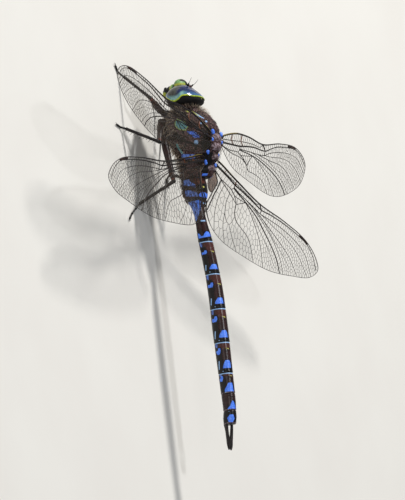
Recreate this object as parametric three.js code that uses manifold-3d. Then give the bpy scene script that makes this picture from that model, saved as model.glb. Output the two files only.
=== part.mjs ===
// A male mosaic darner dragonfly at life size, standing on six feet with its wings spread.
// Millimetres, +Z up, head towards -Y, tail towards +Y, the insect's left side at +X.
// Sizes are in the body frame, whose zero lies between the bases of the forewings.
import * as THREE from "three";
import { mergeVertices } from "three/addons/utils/BufferGeometryUtils.js";
import Module from "manifold-3d";

const wasm = await Module();
wasm.setup();

// ---- driving sizes ----
const GAP = 0.1; // clearance between neighbouring pieces
const RIDE = 12.5; // height of the body frame's zero above the floor
const FAR = 40; // beyond every piece

// stations of the head from front to back: y, centre z, half width, half height
const HEAD = [
  [-11.4, -2.75, 0.7, 0.4],
  [-11.1, -2.7, 1.8, 1.05],
  [-10.6, -2.75, 3.0, 1.75],
  [-10.0, -2.9, 3.9, 2.5],
  [-9.3, -2.8, 4.5, 3.1],
  [-8.7, -2.55, 4.73, 3.35],
  [-8.15, -2.4, 4.75, 3.5],
  [-7.6, -2.4, 4.6, 3.45],
  [-7.05, -2.5, 3.8, 2.9],
];
const OCCIPUT_Y = -8.1; // rear margin of the eyes
const CHEEK_Z = -5.3; // lower margin of the eyes
const LIP_Z = -5.6; // top of the mouthparts
const FACE = { centre: [0, -10.3, -4.0], half: [2.3, 1.85, 2.5] };
const FRONS = { centre: [0, -11.35, -2.5], half: [1.75, 1.05, 0.85] };
const VERTEX = { centre: [0, -10.65, -1.35], half: [0.85, 0.7, 0.75] };
const BRAIN = { centre: [0, -9.0, -2.7], half: [2.7, 1.5, 2.0] };
const NAPE = { centre: [0, -6.95, -2.6], half: [3.0, 0.9, 2.4] };
const MOUTH = { x: [-1.9, 1.9], back: -9.65 };
const FACE_BACK = -9.6;
const ANTENNA = { foot: [0.7, -11.0, -1.3], tip: [1.5, -12.1, 0.1], radius: 0.25 };

const NECK = { frontRadius: 0.8, sides: 12, front: -8.1, back: -7.05, z: -2.7, radius: 1.0 };
// stations along the body: y, centre z, half width, half height
const PROTHORAX = [
  [-6.95, -2.8, 1.5, 1.9],
  [-6.6, -2.85, 2.2, 2.7],
  [-6.05, -2.85, 2.45, 3.05],
];
const THORAX = [
  [-5.95, -2.75, 2.75, 3.45],
  [-4.6, -2.65, 3.35, 4.8],
  [-3.0, -2.35, 3.8, 5.65],
  [-1.3, -1.95, 3.98, 5.7],
  [0.5, -1.4, 3.95, 5.3],
  [2.5, -1.0, 3.75, 4.7],
  [4.5, -1.14, 3.4, 4.14],
  [6.2, -1.58, 2.95, 3.63],
  [7.45, -2.05, 2.5, 3.0],
];
const THORAX_SQUARE = 2.35; // 2 is an ellipse, more is squarer

// the abdomen's axis: its height along the middle, how far it sinks in front and behind, and where
const SPINE = { level: -0.93, waistDrop: 1.8, waist: [7, 32], tailDrop: 0.45, tail: [52, 57] };
// joint places along the body, then the radii of each segment from front to back
const JOINTS = [7.55, 9.2, 11.6, 20.0, 26.5, 33.4, 40.0, 46.0, 50.0, 53.3, 55.9];
const SEGMENT_RADII = [
  [2.35, 2.5, 2.5],
  [2.5, 2.45, 2.28, 1.98],
  [1.9, 1.2, 1.08, 1.15, 1.3, 1.38],
  [1.37, 1.4, 1.42, 1.43],
  [1.42, 1.48, 1.5, 1.51],
  [1.49, 1.53, 1.54, 1.52],
  [1.48, 1.48, 1.45, 1.42],
  [1.39, 1.39, 1.36],
  [1.33, 1.31, 1.24],
  [1.23, 1.32, 1.2],
];
const SEGMENT_BREADTH = 1.02; // a segment's half width over its half height
const BODY_SQUARE = 2.1; // 2 gives an ellipse, more gives a squarer section
const RING_SIDES = { head: 26, thorax: 28, abdomen: 20 };
const AURICLE = { x: 2.35, y: 10.45, z: -3.0, half: [0.55, 0.8, 0.7], around: 10, down: 6 };
// the cerci sink by their droop and lean inwards by their lean, in degrees; the blade grows on the inner side
const CERCUS = { length: 4.75, stalk: 0.55, blade: 0.95, thick: 0.5, x: 1.0, z: -1.45, droop: 5.5, lean: 14 };
// place along the cercus, then how far its outer and inner edges stand out, as shares of the stalk and blade
const CERCUS_OUTER = [[0, 1], [0.88, 1], [1, 0.3]];
const CERCUS_INNER = [[0, 0], [0.29, 0], [0.5, 0.4], [0.71, 1], [0.88, 0.8], [1, 0.1]];
const EPIPROCT = { length: 2.8, width: 1.1, tip: 0.6, thick: 0.5, z: -2.3 };

const WING_THICK = 0.5;
// each wing: hinge on the left side, then sweep, dihedral and pitch in degrees
const WINGS = {
  forewing_left: { kind: "fore", side: 1, sweep: 8.8, rise: 3.8, pitch: 0 },
  forewing_right: { kind: "fore", side: -1, sweep: 6.5, rise: -3.0, pitch: 8 },
  hindwing_left: { kind: "hind", side: 1, sweep: -6.3, rise: 1.0, pitch: 4 },
  hindwing_right: { kind: "hind", side: -1, sweep: -13.5, rise: 2.0, pitch: 13 },
};
// outlines from the hinge: outwards along the span, forwards across it
const WING_SHAPE = {
  fore: {
    hinge: [3.3, 0, 3.0],
    lead: [[-0.8, 0.4], [0, 0.6], [7, 1.3], [14, 0.95], [22.6, -0.2], [33, 0.35], [42, -0.1], [46.6, -2.1]],
    tip: [47.5, -3.8],
    trail: [[44.6, -6.9], [35.5, -9.6], [26.5, -10.1], [12.6, -7.4], [5, -5.4], [1.3, -3.3], [-0.8, -1.7]],
  },
  hind: {
    hinge: [3.6, 3.9, 0.95],
    lead: [[-0.65, -0.3], [0, 0], [8, -0.8], [19, -1.8], [30, -1.5], [39.8, -2], [44.8, -3.8]],
    tip: [46.5, -5.6],
    trail: [
      [44.2, -7.9], [36.6, -10.4], [27.8, -12.5], [18, -13.4], [7, -13.5], [1.9, -11.9],
      [-0.4, -9.3], [0.1, -6.4], [0.7, -4.3], [0.5, -2.3], [-0.65, -1.9],
    ],
  },
};
const EDGE_STEPS = 28;
// the slot in the thorax that takes a wing root
const SLOT = { inner: -2, outer: 2.4, front: 1.3, back: -4.0 };

// the leg's root is in the thorax and its hip just outside; a foot's height follows from the floor
const HIPS = {
  fore: { root: [1.6, -5.0, -5.0], hip: [2.6, -5.7, -6.1], femur: 0.62, tibia: 0.36 },
  mid: { root: [2.0, -3.6, -5.6], hip: [3.3, -4.5, -6.7], femur: 0.66, tibia: 0.38 },
  hind: { root: [2.2, -0.8, -5.4], hip: [3.5, -1.4, -6.5], femur: 0.72, tibia: 0.4 },
};
const STANCE = {
  foreleg_left: { knee: [6.6, -8.6, -6.9], ankle: [7.5, -13.6, -11.5], claw: [9.1, -15.9] },
  midleg_left: { knee: [6.2, 0.2, -6.2], ankle: [8.9, -3.1, -11.7], claw: [11.8, -3.7] },
  hindleg_left: { knee: [5.8, 8.3, -4.4], ankle: [7.3, 11.6, -11.5], claw: [10.9, 15.0] },
  foreleg_right: { knee: [6.9, -7.3, -4.9], ankle: [7.6, -8.9, -11.7], claw: [6.6, -11.7] },
  midleg_right: { knee: [6.4, -0.6, -6.0], ankle: [8.8, -3.4, -11.7], claw: [11.6, -4.6] },
  hindleg_right: { knee: [6.6, 6.6, -4.2], ankle: [9.4, 3.4, -11.6], claw: [9.3, 5.9] },
};
const COXA_RADIUS = 0.72;
const TARSUS = { radius: 0.28, sole: 1.7, lift: 0.2 };
const FEMUR_SWELL = [[0, 0.8], [0.1, 0.95], [0.3, 1], [0.75, 0.75], [1, 0.62]];

// ---- making shapes ----
const V = (x, y, z) => new THREE.Vector3(x, y, z);
const rad = THREE.MathUtils.degToRad;
const grown = (form, by) => ({ centre: form.centre, half: form.half.map((v) => v + by) });

// A three.js geometry as a manifold-3d solid, its faces turned outwards.
function solid(geometry) {
  const bare = geometry.index ? geometry.toNonIndexed() : geometry.clone();
  bare.deleteAttribute("normal");
  bare.deleteAttribute("uv");
  const merged = mergeVertices(bare, 1e-4);
  const vertProperties = new Float32Array(merged.attributes.position.array);
  const triVerts = new Uint32Array(merged.index.array);
  const build = () => new wasm.Manifold(new wasm.Mesh({ numProp: 3, vertProperties, triVerts }));
  const made = build();
  if (made.volume() >= 0) return made;
  for (let i = 0; i < triVerts.length; i += 3) {
    [triVerts[i + 1], triVerts[i + 2]] = [triVerts[i + 2], triVerts[i + 1]];
  }
  return build();
}

// A closed skin over rings of equal point count, with a fan over each end.
function loft(rings) {
  const count = rings[0].length;
  const points = rings.flat();
  const index = [];
  for (let i = 0; i + 1 < rings.length; i++) {
    for (let j = 0; j < count; j++) {
      const a = i * count + j;
      const b = i * count + ((j + 1) % count);
      index.push(a, b, a + count, b, b + count, a + count);
    }
  }
  for (const ring of [0, rings.length - 1]) {
    const centre = points.length;
    points.push(rings[ring].reduce((sum, p) => sum.add(p), V(0, 0, 0)).divideScalar(count));
    for (let j = 0; j < count; j++) {
      const edge = [ring * count + j, ring * count + ((j + 1) % count)];
      index.push(centre, ...(ring ? edge : edge.reverse()));
    }
  }
  return solid(new THREE.BufferGeometry().setFromPoints(points).setIndex(index));
}

// A superelliptic ring across the body.
function section([y, z, halfWidth, halfHeight], square, count) {
  const round = (v) => Math.sign(v) * Math.abs(v) ** (2 / square);
  return Array.from({ length: count }, (_, i) => {
    const turn = (i / count) * Math.PI * 2;
    return V(halfWidth * round(Math.cos(turn)), y, z + halfHeight * round(Math.sin(turn)));
  });
}

// A limb through points, each with its own radius.
function limb(points, radii, count = 8) {
  const rings = points.map((point, i) => {
    const before = points[Math.max(i - 1, 0)];
    const after = points[Math.min(i + 1, points.length - 1)];
    const along = after.clone().sub(before).normalize();
    const across = (Math.abs(along.z) > 0.9 ? V(1, 0, 0) : V(0, 0, 1)).cross(along).normalize();
    const over = along.clone().cross(across);
    return Array.from({ length: count }, (_, j) => {
      const turn = ((j + 0.5) / count) * Math.PI * 2;
      const out = across.clone().multiplyScalar(Math.cos(turn));
      return point.clone().addScaledVector(out.addScaledVector(over, Math.sin(turn)), radii[i]);
    });
  });
  return loft(rings);
}

function ellipsoid({ centre, half }, around = 16, down = 10) {
  const geometry = new THREE.SphereGeometry(1, around, down);
  geometry.rotateX(Math.PI / 2);
  geometry.scale(...half);
  geometry.translate(...centre);
  return solid(geometry);
}

// A block from low to high corner; a side left out reaches far away.
function block({ x = [-FAR, FAR], y = [-FAR, FAR], z = [-FAR, FAR] }) {
  const geometry = new THREE.BoxGeometry(x[1] - x[0], y[1] - y[0], z[1] - z[0]);
  geometry.translate((x[0] + x[1]) / 2, (y[0] + y[1]) / 2, (z[0] + z[1]) / 2);
  return solid(geometry);
}

// A plate of an outline, with the outline's first axis along span and its second along front.
function plate(outline, thick, base, span, front) {
  const shape = new THREE.Shape(outline.map(([x, y]) => new THREE.Vector2(x, y)));
  const geometry = new THREE.ExtrudeGeometry(shape, { depth: thick, bevelEnabled: false });
  geometry.translate(0, 0, -thick / 2);
  const place = new THREE.Matrix4().makeBasis(span, front, span.clone().cross(front));
  geometry.applyMatrix4(place.setPosition(base));
  return solid(geometry);
}

// A smooth line through outline stations.
function smooth(stations) {
  const curve = new THREE.CatmullRomCurve3(stations.map(([x, y]) => V(x, y, 0)), false, "centripetal");
  return curve.getSpacedPoints(EDGE_STEPS).map((p) => [p.x, p.y]);
}

const mirrored = (point, side) => V(point[0] * side, point[1], point[2]);
const between = (a, b, t) => a.clone().lerp(b, t);
const HANDS = [["left", 1], ["right", -1]];

// ---- finishes ----
const FINISHES = {
  thorax: { color: 0x4a3022, roughness: 0.7 },
  abdomen: { color: 0x2a1712, roughness: 0.4 },
  eye: { color: 0x2b4f78, roughness: 0.12 },
  face: { color: 0x8fb04a, roughness: 0.45 },
  head: { color: 0x15110f, roughness: 0.5 },
  leg: { color: 0x2c1612, roughness: 0.4 },
  wing: { color: 0xc9b58a, roughness: 0.25 },
  tail: { color: 0x17100e, roughness: 0.35 },
};

// A solid as a named mesh with a material of its own.
function piece(name, made, finish) {
  const { numProp, numVert, vertProperties, triVerts } = made.getMesh();
  const points = Array.from({ length: numVert }, (_, i) =>
    V(...vertProperties.subarray(i * numProp, i * numProp + 3)),
  );
  const geometry = new THREE.BufferGeometry().setFromPoints(points).setIndex([...triVerts]);
  geometry.computeVertexNormals();
  const material = new THREE.MeshStandardMaterial({ metalness: 0, ...FINISHES[finish] });
  const mesh = new THREE.Mesh(geometry, material);
  mesh.name = name;
  return mesh;
}

function gather(...meshes) {
  return new THREE.Group().add(...meshes.flat());
}

// ---- head: capsule, face, mouthparts, eyes, antennae ----
function headForm(by = 0) {
  const rings = HEAD.map(([y, z, wide, high], i) => {
    const end = i === 0 ? -by : i === HEAD.length - 1 ? by : 0;
    return section([y + end, z, wide + by, high + by], 2, RING_SIDES.head);
  });
  return loft(rings);
}

const brain = (by = 0) => ellipsoid(grown(BRAIN, by), 14, 8);
const muzzle = (by = 0) =>
  ellipsoid(grown(FACE, by))
    .add(ellipsoid(grown(FRONS, by), 12, 8))
    .add(ellipsoid(grown(VERTEX, by), 12, 8));
const nape = (by = 0) => ellipsoid(grown(NAPE, by), 14, 6);

function makeHead() {
  const cheeks = (z) => block({ z: [-FAR, z] });
  const mouthSpace = block({ y: [-FAR, MOUTH.back + GAP], z: [-FAR, LIP_Z] });
  const rear = headForm().intersect(block({ y: [OCCIPUT_Y + GAP, FAR] }));
  const capsule = brain()
    .add(rear)
    .add(headForm().intersect(cheeks(CHEEK_Z)))
    .subtract(muzzle(GAP))
    .subtract(nape())
    .subtract(mouthSpace);
  const face = muzzle()
    .intersect(block({ y: [-FAR, FACE_BACK] }))
    .subtract(brain(GAP))
    .subtract(cheeks(LIP_Z + GAP));
  const mouth = muzzle()
    .add(headForm())
    .intersect(block({ x: MOUTH.x, y: [-FAR, MOUTH.back], z: [-FAR, LIP_Z - GAP] }))
    .subtract(brain(GAP));
  const eyes = HANDS.map(([hand, side]) => {
    const x = side > 0 ? [GAP / 2, FAR] : [-FAR, -GAP / 2];
    const eye = headForm()
      .intersect(block({ x, y: [-FAR, OCCIPUT_Y], z: [CHEEK_Z + GAP, FAR] }))
      .subtract(brain(GAP))
      .subtract(muzzle(GAP));
    return piece("eye_" + hand, eye, "eye");
  });
  const antennae = HANDS.map(([hand, side]) => {
    const foot = mirrored(ANTENNA.foot, side);
    const tip = mirrored(ANTENNA.tip, side);
    const radii = [1.25, 1, 1].map((k) => ANTENNA.radius * k);
    const bristle = limb([foot, between(foot, tip, 0.45), tip], radii, 6);
    return piece("antenna_" + hand, bristle.subtract(muzzle(GAP)).subtract(headForm(GAP)), "head");
  });
  return gather(
    piece("head", capsule, "head"),
    piece("face", face, "face"),
    piece("mouthparts", mouth, "face"),
    eyes,
    antennae,
  );
}

// ---- legs: coxa, femur, tibia and tarsus, each cut back where the next one meets it ----
const above = block({ z: [-RIDE, FAR] });

function legForms(name) {
  const leg = { ...HIPS[name.split("leg")[0]], ...STANCE[name] };
  const side = name.endsWith("left") ? 1 : -1;
  const [root, hip, knee, ankle] = [leg.root, leg.hip, leg.knee, leg.ankle].map((p) => mirrored(p, side));
  const claw = V(leg.claw[0] * side, leg.claw[1], -RIDE + TARSUS.lift);
  const towards = V(claw.x - ankle.x, claw.y - ankle.y, 0).normalize();
  const heel = claw.clone().addScaledVector(towards, -TARSUS.sole);
  const coxa = (by = 0) => limb([root, hip], [COXA_RADIUS + by, COXA_RADIUS * 0.85 + by], 10);
  const socket = limb([root.clone().lerp(hip, -0.08), hip], [COXA_RADIUS + GAP, COXA_RADIUS + GAP], 10);
  const femur = (by = 0) =>
    limb(FEMUR_SWELL.map(([t]) => between(hip, knee, t)), FEMUR_SWELL.map(([, k]) => leg.femur * k + by), 9);
  const shin = [knee, between(knee, ankle, 0.12), ankle];
  const tibia = (by = 0) => limb(shin, [leg.tibia + by, leg.tibia * 0.95 + by, TARSUS.radius + by]);
  const tarsus = (by = 0) => limb([ankle, heel, claw], Array(3).fill(TARSUS.radius + by));
  return { coxa, socket, femur, tibia, tarsus };
}

function makeLegs() {
  const legs = Object.keys(STANCE).map((name) => {
    const form = legForms(name);
    return [
      piece(name + "_coxa", form.coxa().subtract(form.femur(GAP)), "leg"),
      piece(name + "_femur", form.femur().subtract(form.tibia(GAP)), "leg"),
      piece(name + "_tibia", form.tibia().subtract(form.tarsus(GAP)), "leg"),
      piece(name + "_tarsus", form.tarsus().intersect(above), "leg"),
    ];
  });
  return gather(...legs);
}

// ---- wings ----
function wingAxes({ sweep, rise, pitch, side }) {
  const [back, up, nose] = [sweep, rise, pitch].map(rad);
  const span = V(Math.cos(back) * Math.cos(up), -Math.sin(back) * Math.cos(up), Math.sin(up));
  const ahead = V(0, -1, 0);
  ahead.addScaledVector(span, -ahead.dot(span)).normalize();
  const dorsal = ahead.clone().cross(span);
  const front = ahead.multiplyScalar(Math.cos(nose)).addScaledVector(dorsal, Math.sin(nose));
  span.x *= side;
  front.x *= side;
  return [span, front];
}

function wingPlate(wing, outline, thick) {
  return plate(outline, thick, mirrored(WING_SHAPE[wing.kind].hinge, wing.side), ...wingAxes(wing));
}

function makeWings() {
  const wings = Object.entries(WINGS).map(([name, wing]) => {
    const { lead, tip, trail } = WING_SHAPE[wing.kind];
    const outline = [...smooth([...lead, tip]), ...smooth([tip, ...trail]).slice(1)];
    return piece(name, wingPlate(wing, outline, WING_THICK), "wing");
  });
  return gather(wings);
}

// ---- neck and thorax ----
function makeThorax() {
  const collar = loft(PROTHORAX.map((station) => section(station, BODY_SQUARE, RING_SIDES.abdomen)));
  const neckEnds = [V(0, NECK.front, NECK.z), V(0, NECK.back, NECK.z)];
  const neck = limb(neckEnds, [NECK.frontRadius, NECK.radius], NECK.sides).subtract(
    headForm(GAP).subtract(nape(-GAP)),
  );
  let trunk = loft(THORAX.map((station) => section(station, THORAX_SQUARE, RING_SIDES.thorax)));
  const { inner, outer, front, back } = SLOT;
  const slot = [[inner, front], [outer, front], [outer, back], [inner, back]];
  for (const wing of Object.values(WINGS)) {
    trunk = trunk.subtract(wingPlate(wing, slot, WING_THICK + 2 * GAP));
  }
  for (const name of Object.keys(STANCE)) {
    const form = legForms(name);
    trunk = trunk.subtract(form.socket).subtract(form.femur(GAP));
  }
  return gather(
    piece("neck", neck, "thorax"),
    piece("prothorax", collar, "thorax"),
    piece("thorax", trunk, "thorax"),
  );
}

// ---- abdomen: ten segments, two cerci, epiproct ----
function axisZ(y) {
  const inFront = 1 - THREE.MathUtils.smoothstep(y, ...SPINE.waist);
  const behind = THREE.MathUtils.smoothstep(y, ...SPINE.tail);
  return SPINE.level - SPINE.waistDrop * inFront - SPINE.tailDrop * behind;
}

function makeSegment(radii, i) {
  const [from, to] = [JOINTS[i] + GAP / 2, JOINTS[i + 1] - GAP / 2];
  const rings = radii.map((radius, k) => {
    const y = THREE.MathUtils.lerp(from, to, k / (radii.length - 1));
    return section([y, axisZ(y), radius * SEGMENT_BREADTH, radius], BODY_SQUARE, RING_SIDES.abdomen);
  });
  return loft(rings);
}

function makeAbdomen() {
  const segments = SEGMENT_RADII.map((radii, i) => {
    let form = makeSegment(radii, i);
    if (i === 1) {
      for (const [, side] of HANDS) {
        const ear = { centre: [AURICLE.x * side, AURICLE.y, AURICLE.z], half: AURICLE.half };
        form = form.add(ellipsoid(ear, AURICLE.around, AURICLE.down));
      }
    }
    return piece("abdomen_" + String(i + 1).padStart(2, "0"), form, "abdomen");
  });
  const tail = JOINTS.at(-1) + GAP;
  const half = CERCUS.stalk / 2;
  const swell = CERCUS.blade - CERCUS.stalk;
  const outer = CERCUS_OUTER.map(([t, share]) => [t * CERCUS.length, half * share]);
  const inner = CERCUS_INNER.map(([t, share]) => [t * CERCUS.length, -half - swell * share]);
  const leafOutline = [...outer, ...inner.reverse()];
  const cerci = HANDS.map(([hand, side]) => {
    const [down, inwards] = [CERCUS.droop, CERCUS.lean].map(rad);
    const span = V(0, Math.cos(down), -Math.sin(down));
    const across = V(side * Math.cos(inwards), 0, Math.sin(inwards));
    const root = V(CERCUS.x * side, tail, CERCUS.z);
    return piece("cercus_" + hand, plate(leafOutline, CERCUS.thick, root, span, across), "tail");
  });
  const { length: reach, width: wide, tip, thick: deep, z } = EPIPROCT;
  const tongue = [[0, wide / 2], [reach, tip / 2], [reach, -tip / 2], [0, -wide / 2]];
  const epiproct = plate(tongue, deep, V(0, tail, z), V(0, 1, 0), V(1, 0, 0));
  return gather(segments, cerci, piece("epiproct", epiproct, "tail"));
}

// ---- the whole insect, soles at zero, centred on its bounding box ----
const body = new THREE.Group().add(makeHead(), makeThorax(), makeLegs(), makeWings(), makeAbdomen());
const middle = new THREE.Box3().setFromObject(body, true).getCenter(V(0, 0, 0));
body.position.set(-middle.x, -middle.y, RIDE);

const dragonfly = new THREE.Group().add(body);
dragonfly.name = "dragonfly";

export default dragonfly;
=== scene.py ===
"""A male mosaic darner dragonfly, life size, standing with its wings spread.

Shapes are worked out in millimetres in the body frame: zero lies between the forewing bases, the head points
to -Y, the insect's left is +X. They become metres in the row frame when a mesh is made.
"""
import math

import bpy
import numpy as np
from mathutils import Matrix, Vector
from mathutils.geometry import delaunay_2d_cdt


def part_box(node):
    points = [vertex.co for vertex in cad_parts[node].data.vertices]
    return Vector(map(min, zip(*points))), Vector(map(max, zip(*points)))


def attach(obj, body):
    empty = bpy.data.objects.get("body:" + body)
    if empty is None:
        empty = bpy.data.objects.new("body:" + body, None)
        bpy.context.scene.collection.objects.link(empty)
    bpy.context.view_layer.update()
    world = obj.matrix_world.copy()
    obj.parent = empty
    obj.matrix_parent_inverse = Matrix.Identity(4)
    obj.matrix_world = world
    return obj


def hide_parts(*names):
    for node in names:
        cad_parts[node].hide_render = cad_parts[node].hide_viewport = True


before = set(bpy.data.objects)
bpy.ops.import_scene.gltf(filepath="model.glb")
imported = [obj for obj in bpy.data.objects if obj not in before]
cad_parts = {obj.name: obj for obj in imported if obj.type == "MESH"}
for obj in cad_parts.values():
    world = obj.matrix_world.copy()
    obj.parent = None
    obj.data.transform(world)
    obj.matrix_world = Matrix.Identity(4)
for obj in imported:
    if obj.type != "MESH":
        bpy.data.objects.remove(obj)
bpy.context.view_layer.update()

MM = 0.001
RIDE = 12.5  # height of the body frame's zero above the floor
THORAX_FRONT = -5.95


def body_zero():
    """The body frame's zero in the row frame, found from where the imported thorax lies."""
    low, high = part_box("thorax")
    return np.array([(low.x + high.x) / 2 / MM, low.y / MM - THORAX_FRONT, RIDE])


ZERO = body_zero()


# ---- small mathematics ----
def lerp(a, b, t):
    return a + (b - a) * t


def smooth(value, low, high):
    t = np.clip((value - low) / (high - low), 0, 1)
    return t * t * (3 - 2 * t)


def unit(v):
    v = np.asarray(v, float)
    return v / np.maximum(np.linalg.norm(v, axis=-1, keepdims=True), 1e-12)


def cubic(x, y, slope, at):
    """Values at some places of a smooth curve through the points (x, y) with those slopes."""
    i = np.clip(np.searchsorted(x, at) - 1, 0, len(x) - 2)
    h = x[i + 1] - x[i]
    t = np.clip((at - x[i]) / h, 0, 1)
    return ((2 * t**3 - 3 * t**2 + 1) * y[i] + (t**3 - 2 * t**2 + t) * h * slope[i]
            + (3 * t**2 - 2 * t**3) * y[i + 1] + (t**3 - t**2) * h * slope[i + 1])


def hermite(stations, at):
    """A smooth line through stations (place, value), with no overshoot between them."""
    x, y = np.asarray(stations, float).T
    d = np.diff(y) / np.diff(x)
    both = d[:-1] * d[1:]
    total = np.where(both > 0, d[:-1] + d[1:], 1)
    slope = np.concatenate([d[:1], np.where(both > 0, 2 * both / total, 0), d[-1:]])
    return cubic(x, y, slope, at)


def through(points, step):
    """A smooth line through points in two or three dimensions, in even steps."""
    p = np.asarray(points, float)
    along = np.concatenate([[0], np.cumsum(np.sqrt(np.linalg.norm(np.diff(p, axis=0), axis=1)))])
    fine = np.linspace(0, along[-1], 24 * len(p))
    dense = np.stack([catmull(along, p[:, k], fine) for k in range(p.shape[1])], 1)
    length = np.concatenate([[0], np.cumsum(np.linalg.norm(np.diff(dense, axis=0), axis=1))])
    at = np.linspace(0, length[-1], max(2, int(round(length[-1] / step)) + 1))
    return np.stack([np.interp(at, length, dense[:, k]) for k in range(p.shape[1])], 1)


def catmull(x, y, at):
    slope = np.gradient(y, x) if len(x) > 2 else np.full(len(x), (y[-1] - y[0]) / (x[-1] - x[0]))
    return cubic(x, y, slope, at)


# ---- pieces of mesh: (points, faces) in millimetres ----
def grid_faces(rows, count):
    """Four-cornered faces between rows of points that each close on themselves."""
    i, j = np.meshgrid(np.arange(rows - 1), np.arange(count), indexing="ij")
    a, b = i * count + j, i * count + (j + 1) % count
    return np.stack([a, b, b + count, a + count], -1).reshape(-1, 4).tolist()


def capped(rings):
    """A closed skin over rings, an array of rows of points, with a fan over each end."""
    rows, count = rings.shape[:2]
    points = np.concatenate([rings.reshape(-1, 3), [rings[0].mean(0)], [rings[-1].mean(0)]])
    faces = grid_faces(rows, count)
    first, last = rows * count, rows * count + 1
    faces += [[first, (j + 1) % count, j] for j in range(count)]
    faces += [[last, (rows - 1) * count + j, (rows - 1) * count + (j + 1) % count] for j in range(count)]
    return points, faces


def tube(line, radii, sides, up=(0, 0, 1)):
    """A round bar along a line, each point with its own radius."""
    line, radii = np.asarray(line, float), np.broadcast_to(np.asarray(radii, float), (len(line),))
    tangent = unit(np.gradient(line, axis=0))
    up = np.asarray(up, float)
    side = np.cross(tangent, up)
    weak = np.linalg.norm(side, axis=1) < 0.15
    side[weak] = np.cross(tangent[weak], [0.3, 1, 0.1])
    side = unit(side)
    over = np.cross(side, tangent)
    turn = 2 * np.pi * np.arange(sides) / sides
    ring = np.cos(turn)[None, :, None] * side[:, None] + np.sin(turn)[None, :, None] * over[:, None]
    return capped(line[:, None] + ring * radii[:, None, None])


def unit_ball(around, down):
    """A ball of radius 1 with its poles along Z."""
    polar = np.pi * (np.arange(down) + 0.5) / down
    turn = 2 * np.pi * np.arange(around) / around
    across = np.sin(polar)
    rings = [np.outer(across, np.cos(turn)), np.outer(across, np.sin(turn))]
    rings.append(np.outer(np.cos(polar), np.ones(around)))
    points, faces = capped(np.stack(rings, -1))
    points[-2:] = (0, 0, 1), (0, 0, -1)
    return points, faces


def ball(centre, half, around=20, down=12, axes=np.eye(3)):
    """An oval ball with its half sizes along three axes."""
    points, faces = unit_ball(around, down)
    return points * half @ axes + centre, faces


def join(parts):
    points, faces, start = [], [], 0
    for p, f in parts:
        points.append(p)
        faces += [[k + start for k in face] for face in f]
        start += len(p)
    return np.concatenate(points), faces


def flipped(faces):
    return [face[::-1] for face in faces]


def mirrored(part):
    points, faces = part
    return points * (-1, 1, 1), flipped(faces)


HALVINGS = 34  # steps in the search for a surface, each halving the gap


def star(centre, inside, around, down, reach):
    """The surface round a centre where inside(points) turns from less than 0 to more, with poles along Y."""
    way, faces = unit_ball(around, down)
    way = way[:, [0, 2, 1]]
    near, far = np.zeros(len(way)), np.full(len(way), reach)
    for _ in range(HALVINGS):
        middle = (near + far) / 2
        out = inside(centre + way * middle[:, None]) > 0
        near, far = np.where(out, near, middle), np.where(out, middle, far)
    return centre + way * near[:, None], flipped(faces)


def smooth_max(a, b, soft):
    h = np.clip(0.5 + (a - b) / (2 * soft), 0, 1)
    return b + (a - b) * h + soft * h * (1 - h)


def smooth_min(a, b, soft):
    return -smooth_max(-a, -b, soft)


def ellipsoid(p, centre, half):
    """Roughly the distance from an ellipsoid's surface, more than zero outside."""
    q = (p - np.asarray(centre)) / half
    r = np.linalg.norm(q, axis=-1)
    return (r - 1) * np.min(half)


def make_piece(name, part, material, nodes=(), fields=None, uv=None):
    points, faces = part
    mesh = bpy.data.meshes.new(name)
    mesh.from_pydata(((points + ZERO) * MM).tolist(), [], faces)
    mesh.polygons.foreach_set("use_smooth", [True] * len(mesh.polygons))
    for key, values in (fields or {}).items():
        layer = mesh.attributes.new(key, "FLOAT", "POINT")
        layer.data.foreach_set("value", np.asarray(values, np.float32))
    if uv is not None:
        corner = np.empty(len(mesh.loops), np.int32)
        mesh.loops.foreach_get("vertex_index", corner)
        mesh.uv_layers.new(name="OFBake").data.foreach_set("uv", uv[corner].astype(np.float32).ravel())
    mesh.materials.append(material)
    mesh.update()
    piece = bpy.data.objects.new(name, mesh)
    bpy.context.scene.collection.objects.link(piece)
    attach(piece, "root")
    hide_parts(*nodes)


# ---- materials ----
def colour(red, green, blue):
    """A colour written in screen values from 0 to 255."""
    part = [c / 255 for c in (red, green, blue)]
    return tuple(c / 12.92 if c <= 0.04045 else ((c + 0.055) / 1.055) ** 2.4 for c in part) + (1,)


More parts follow.
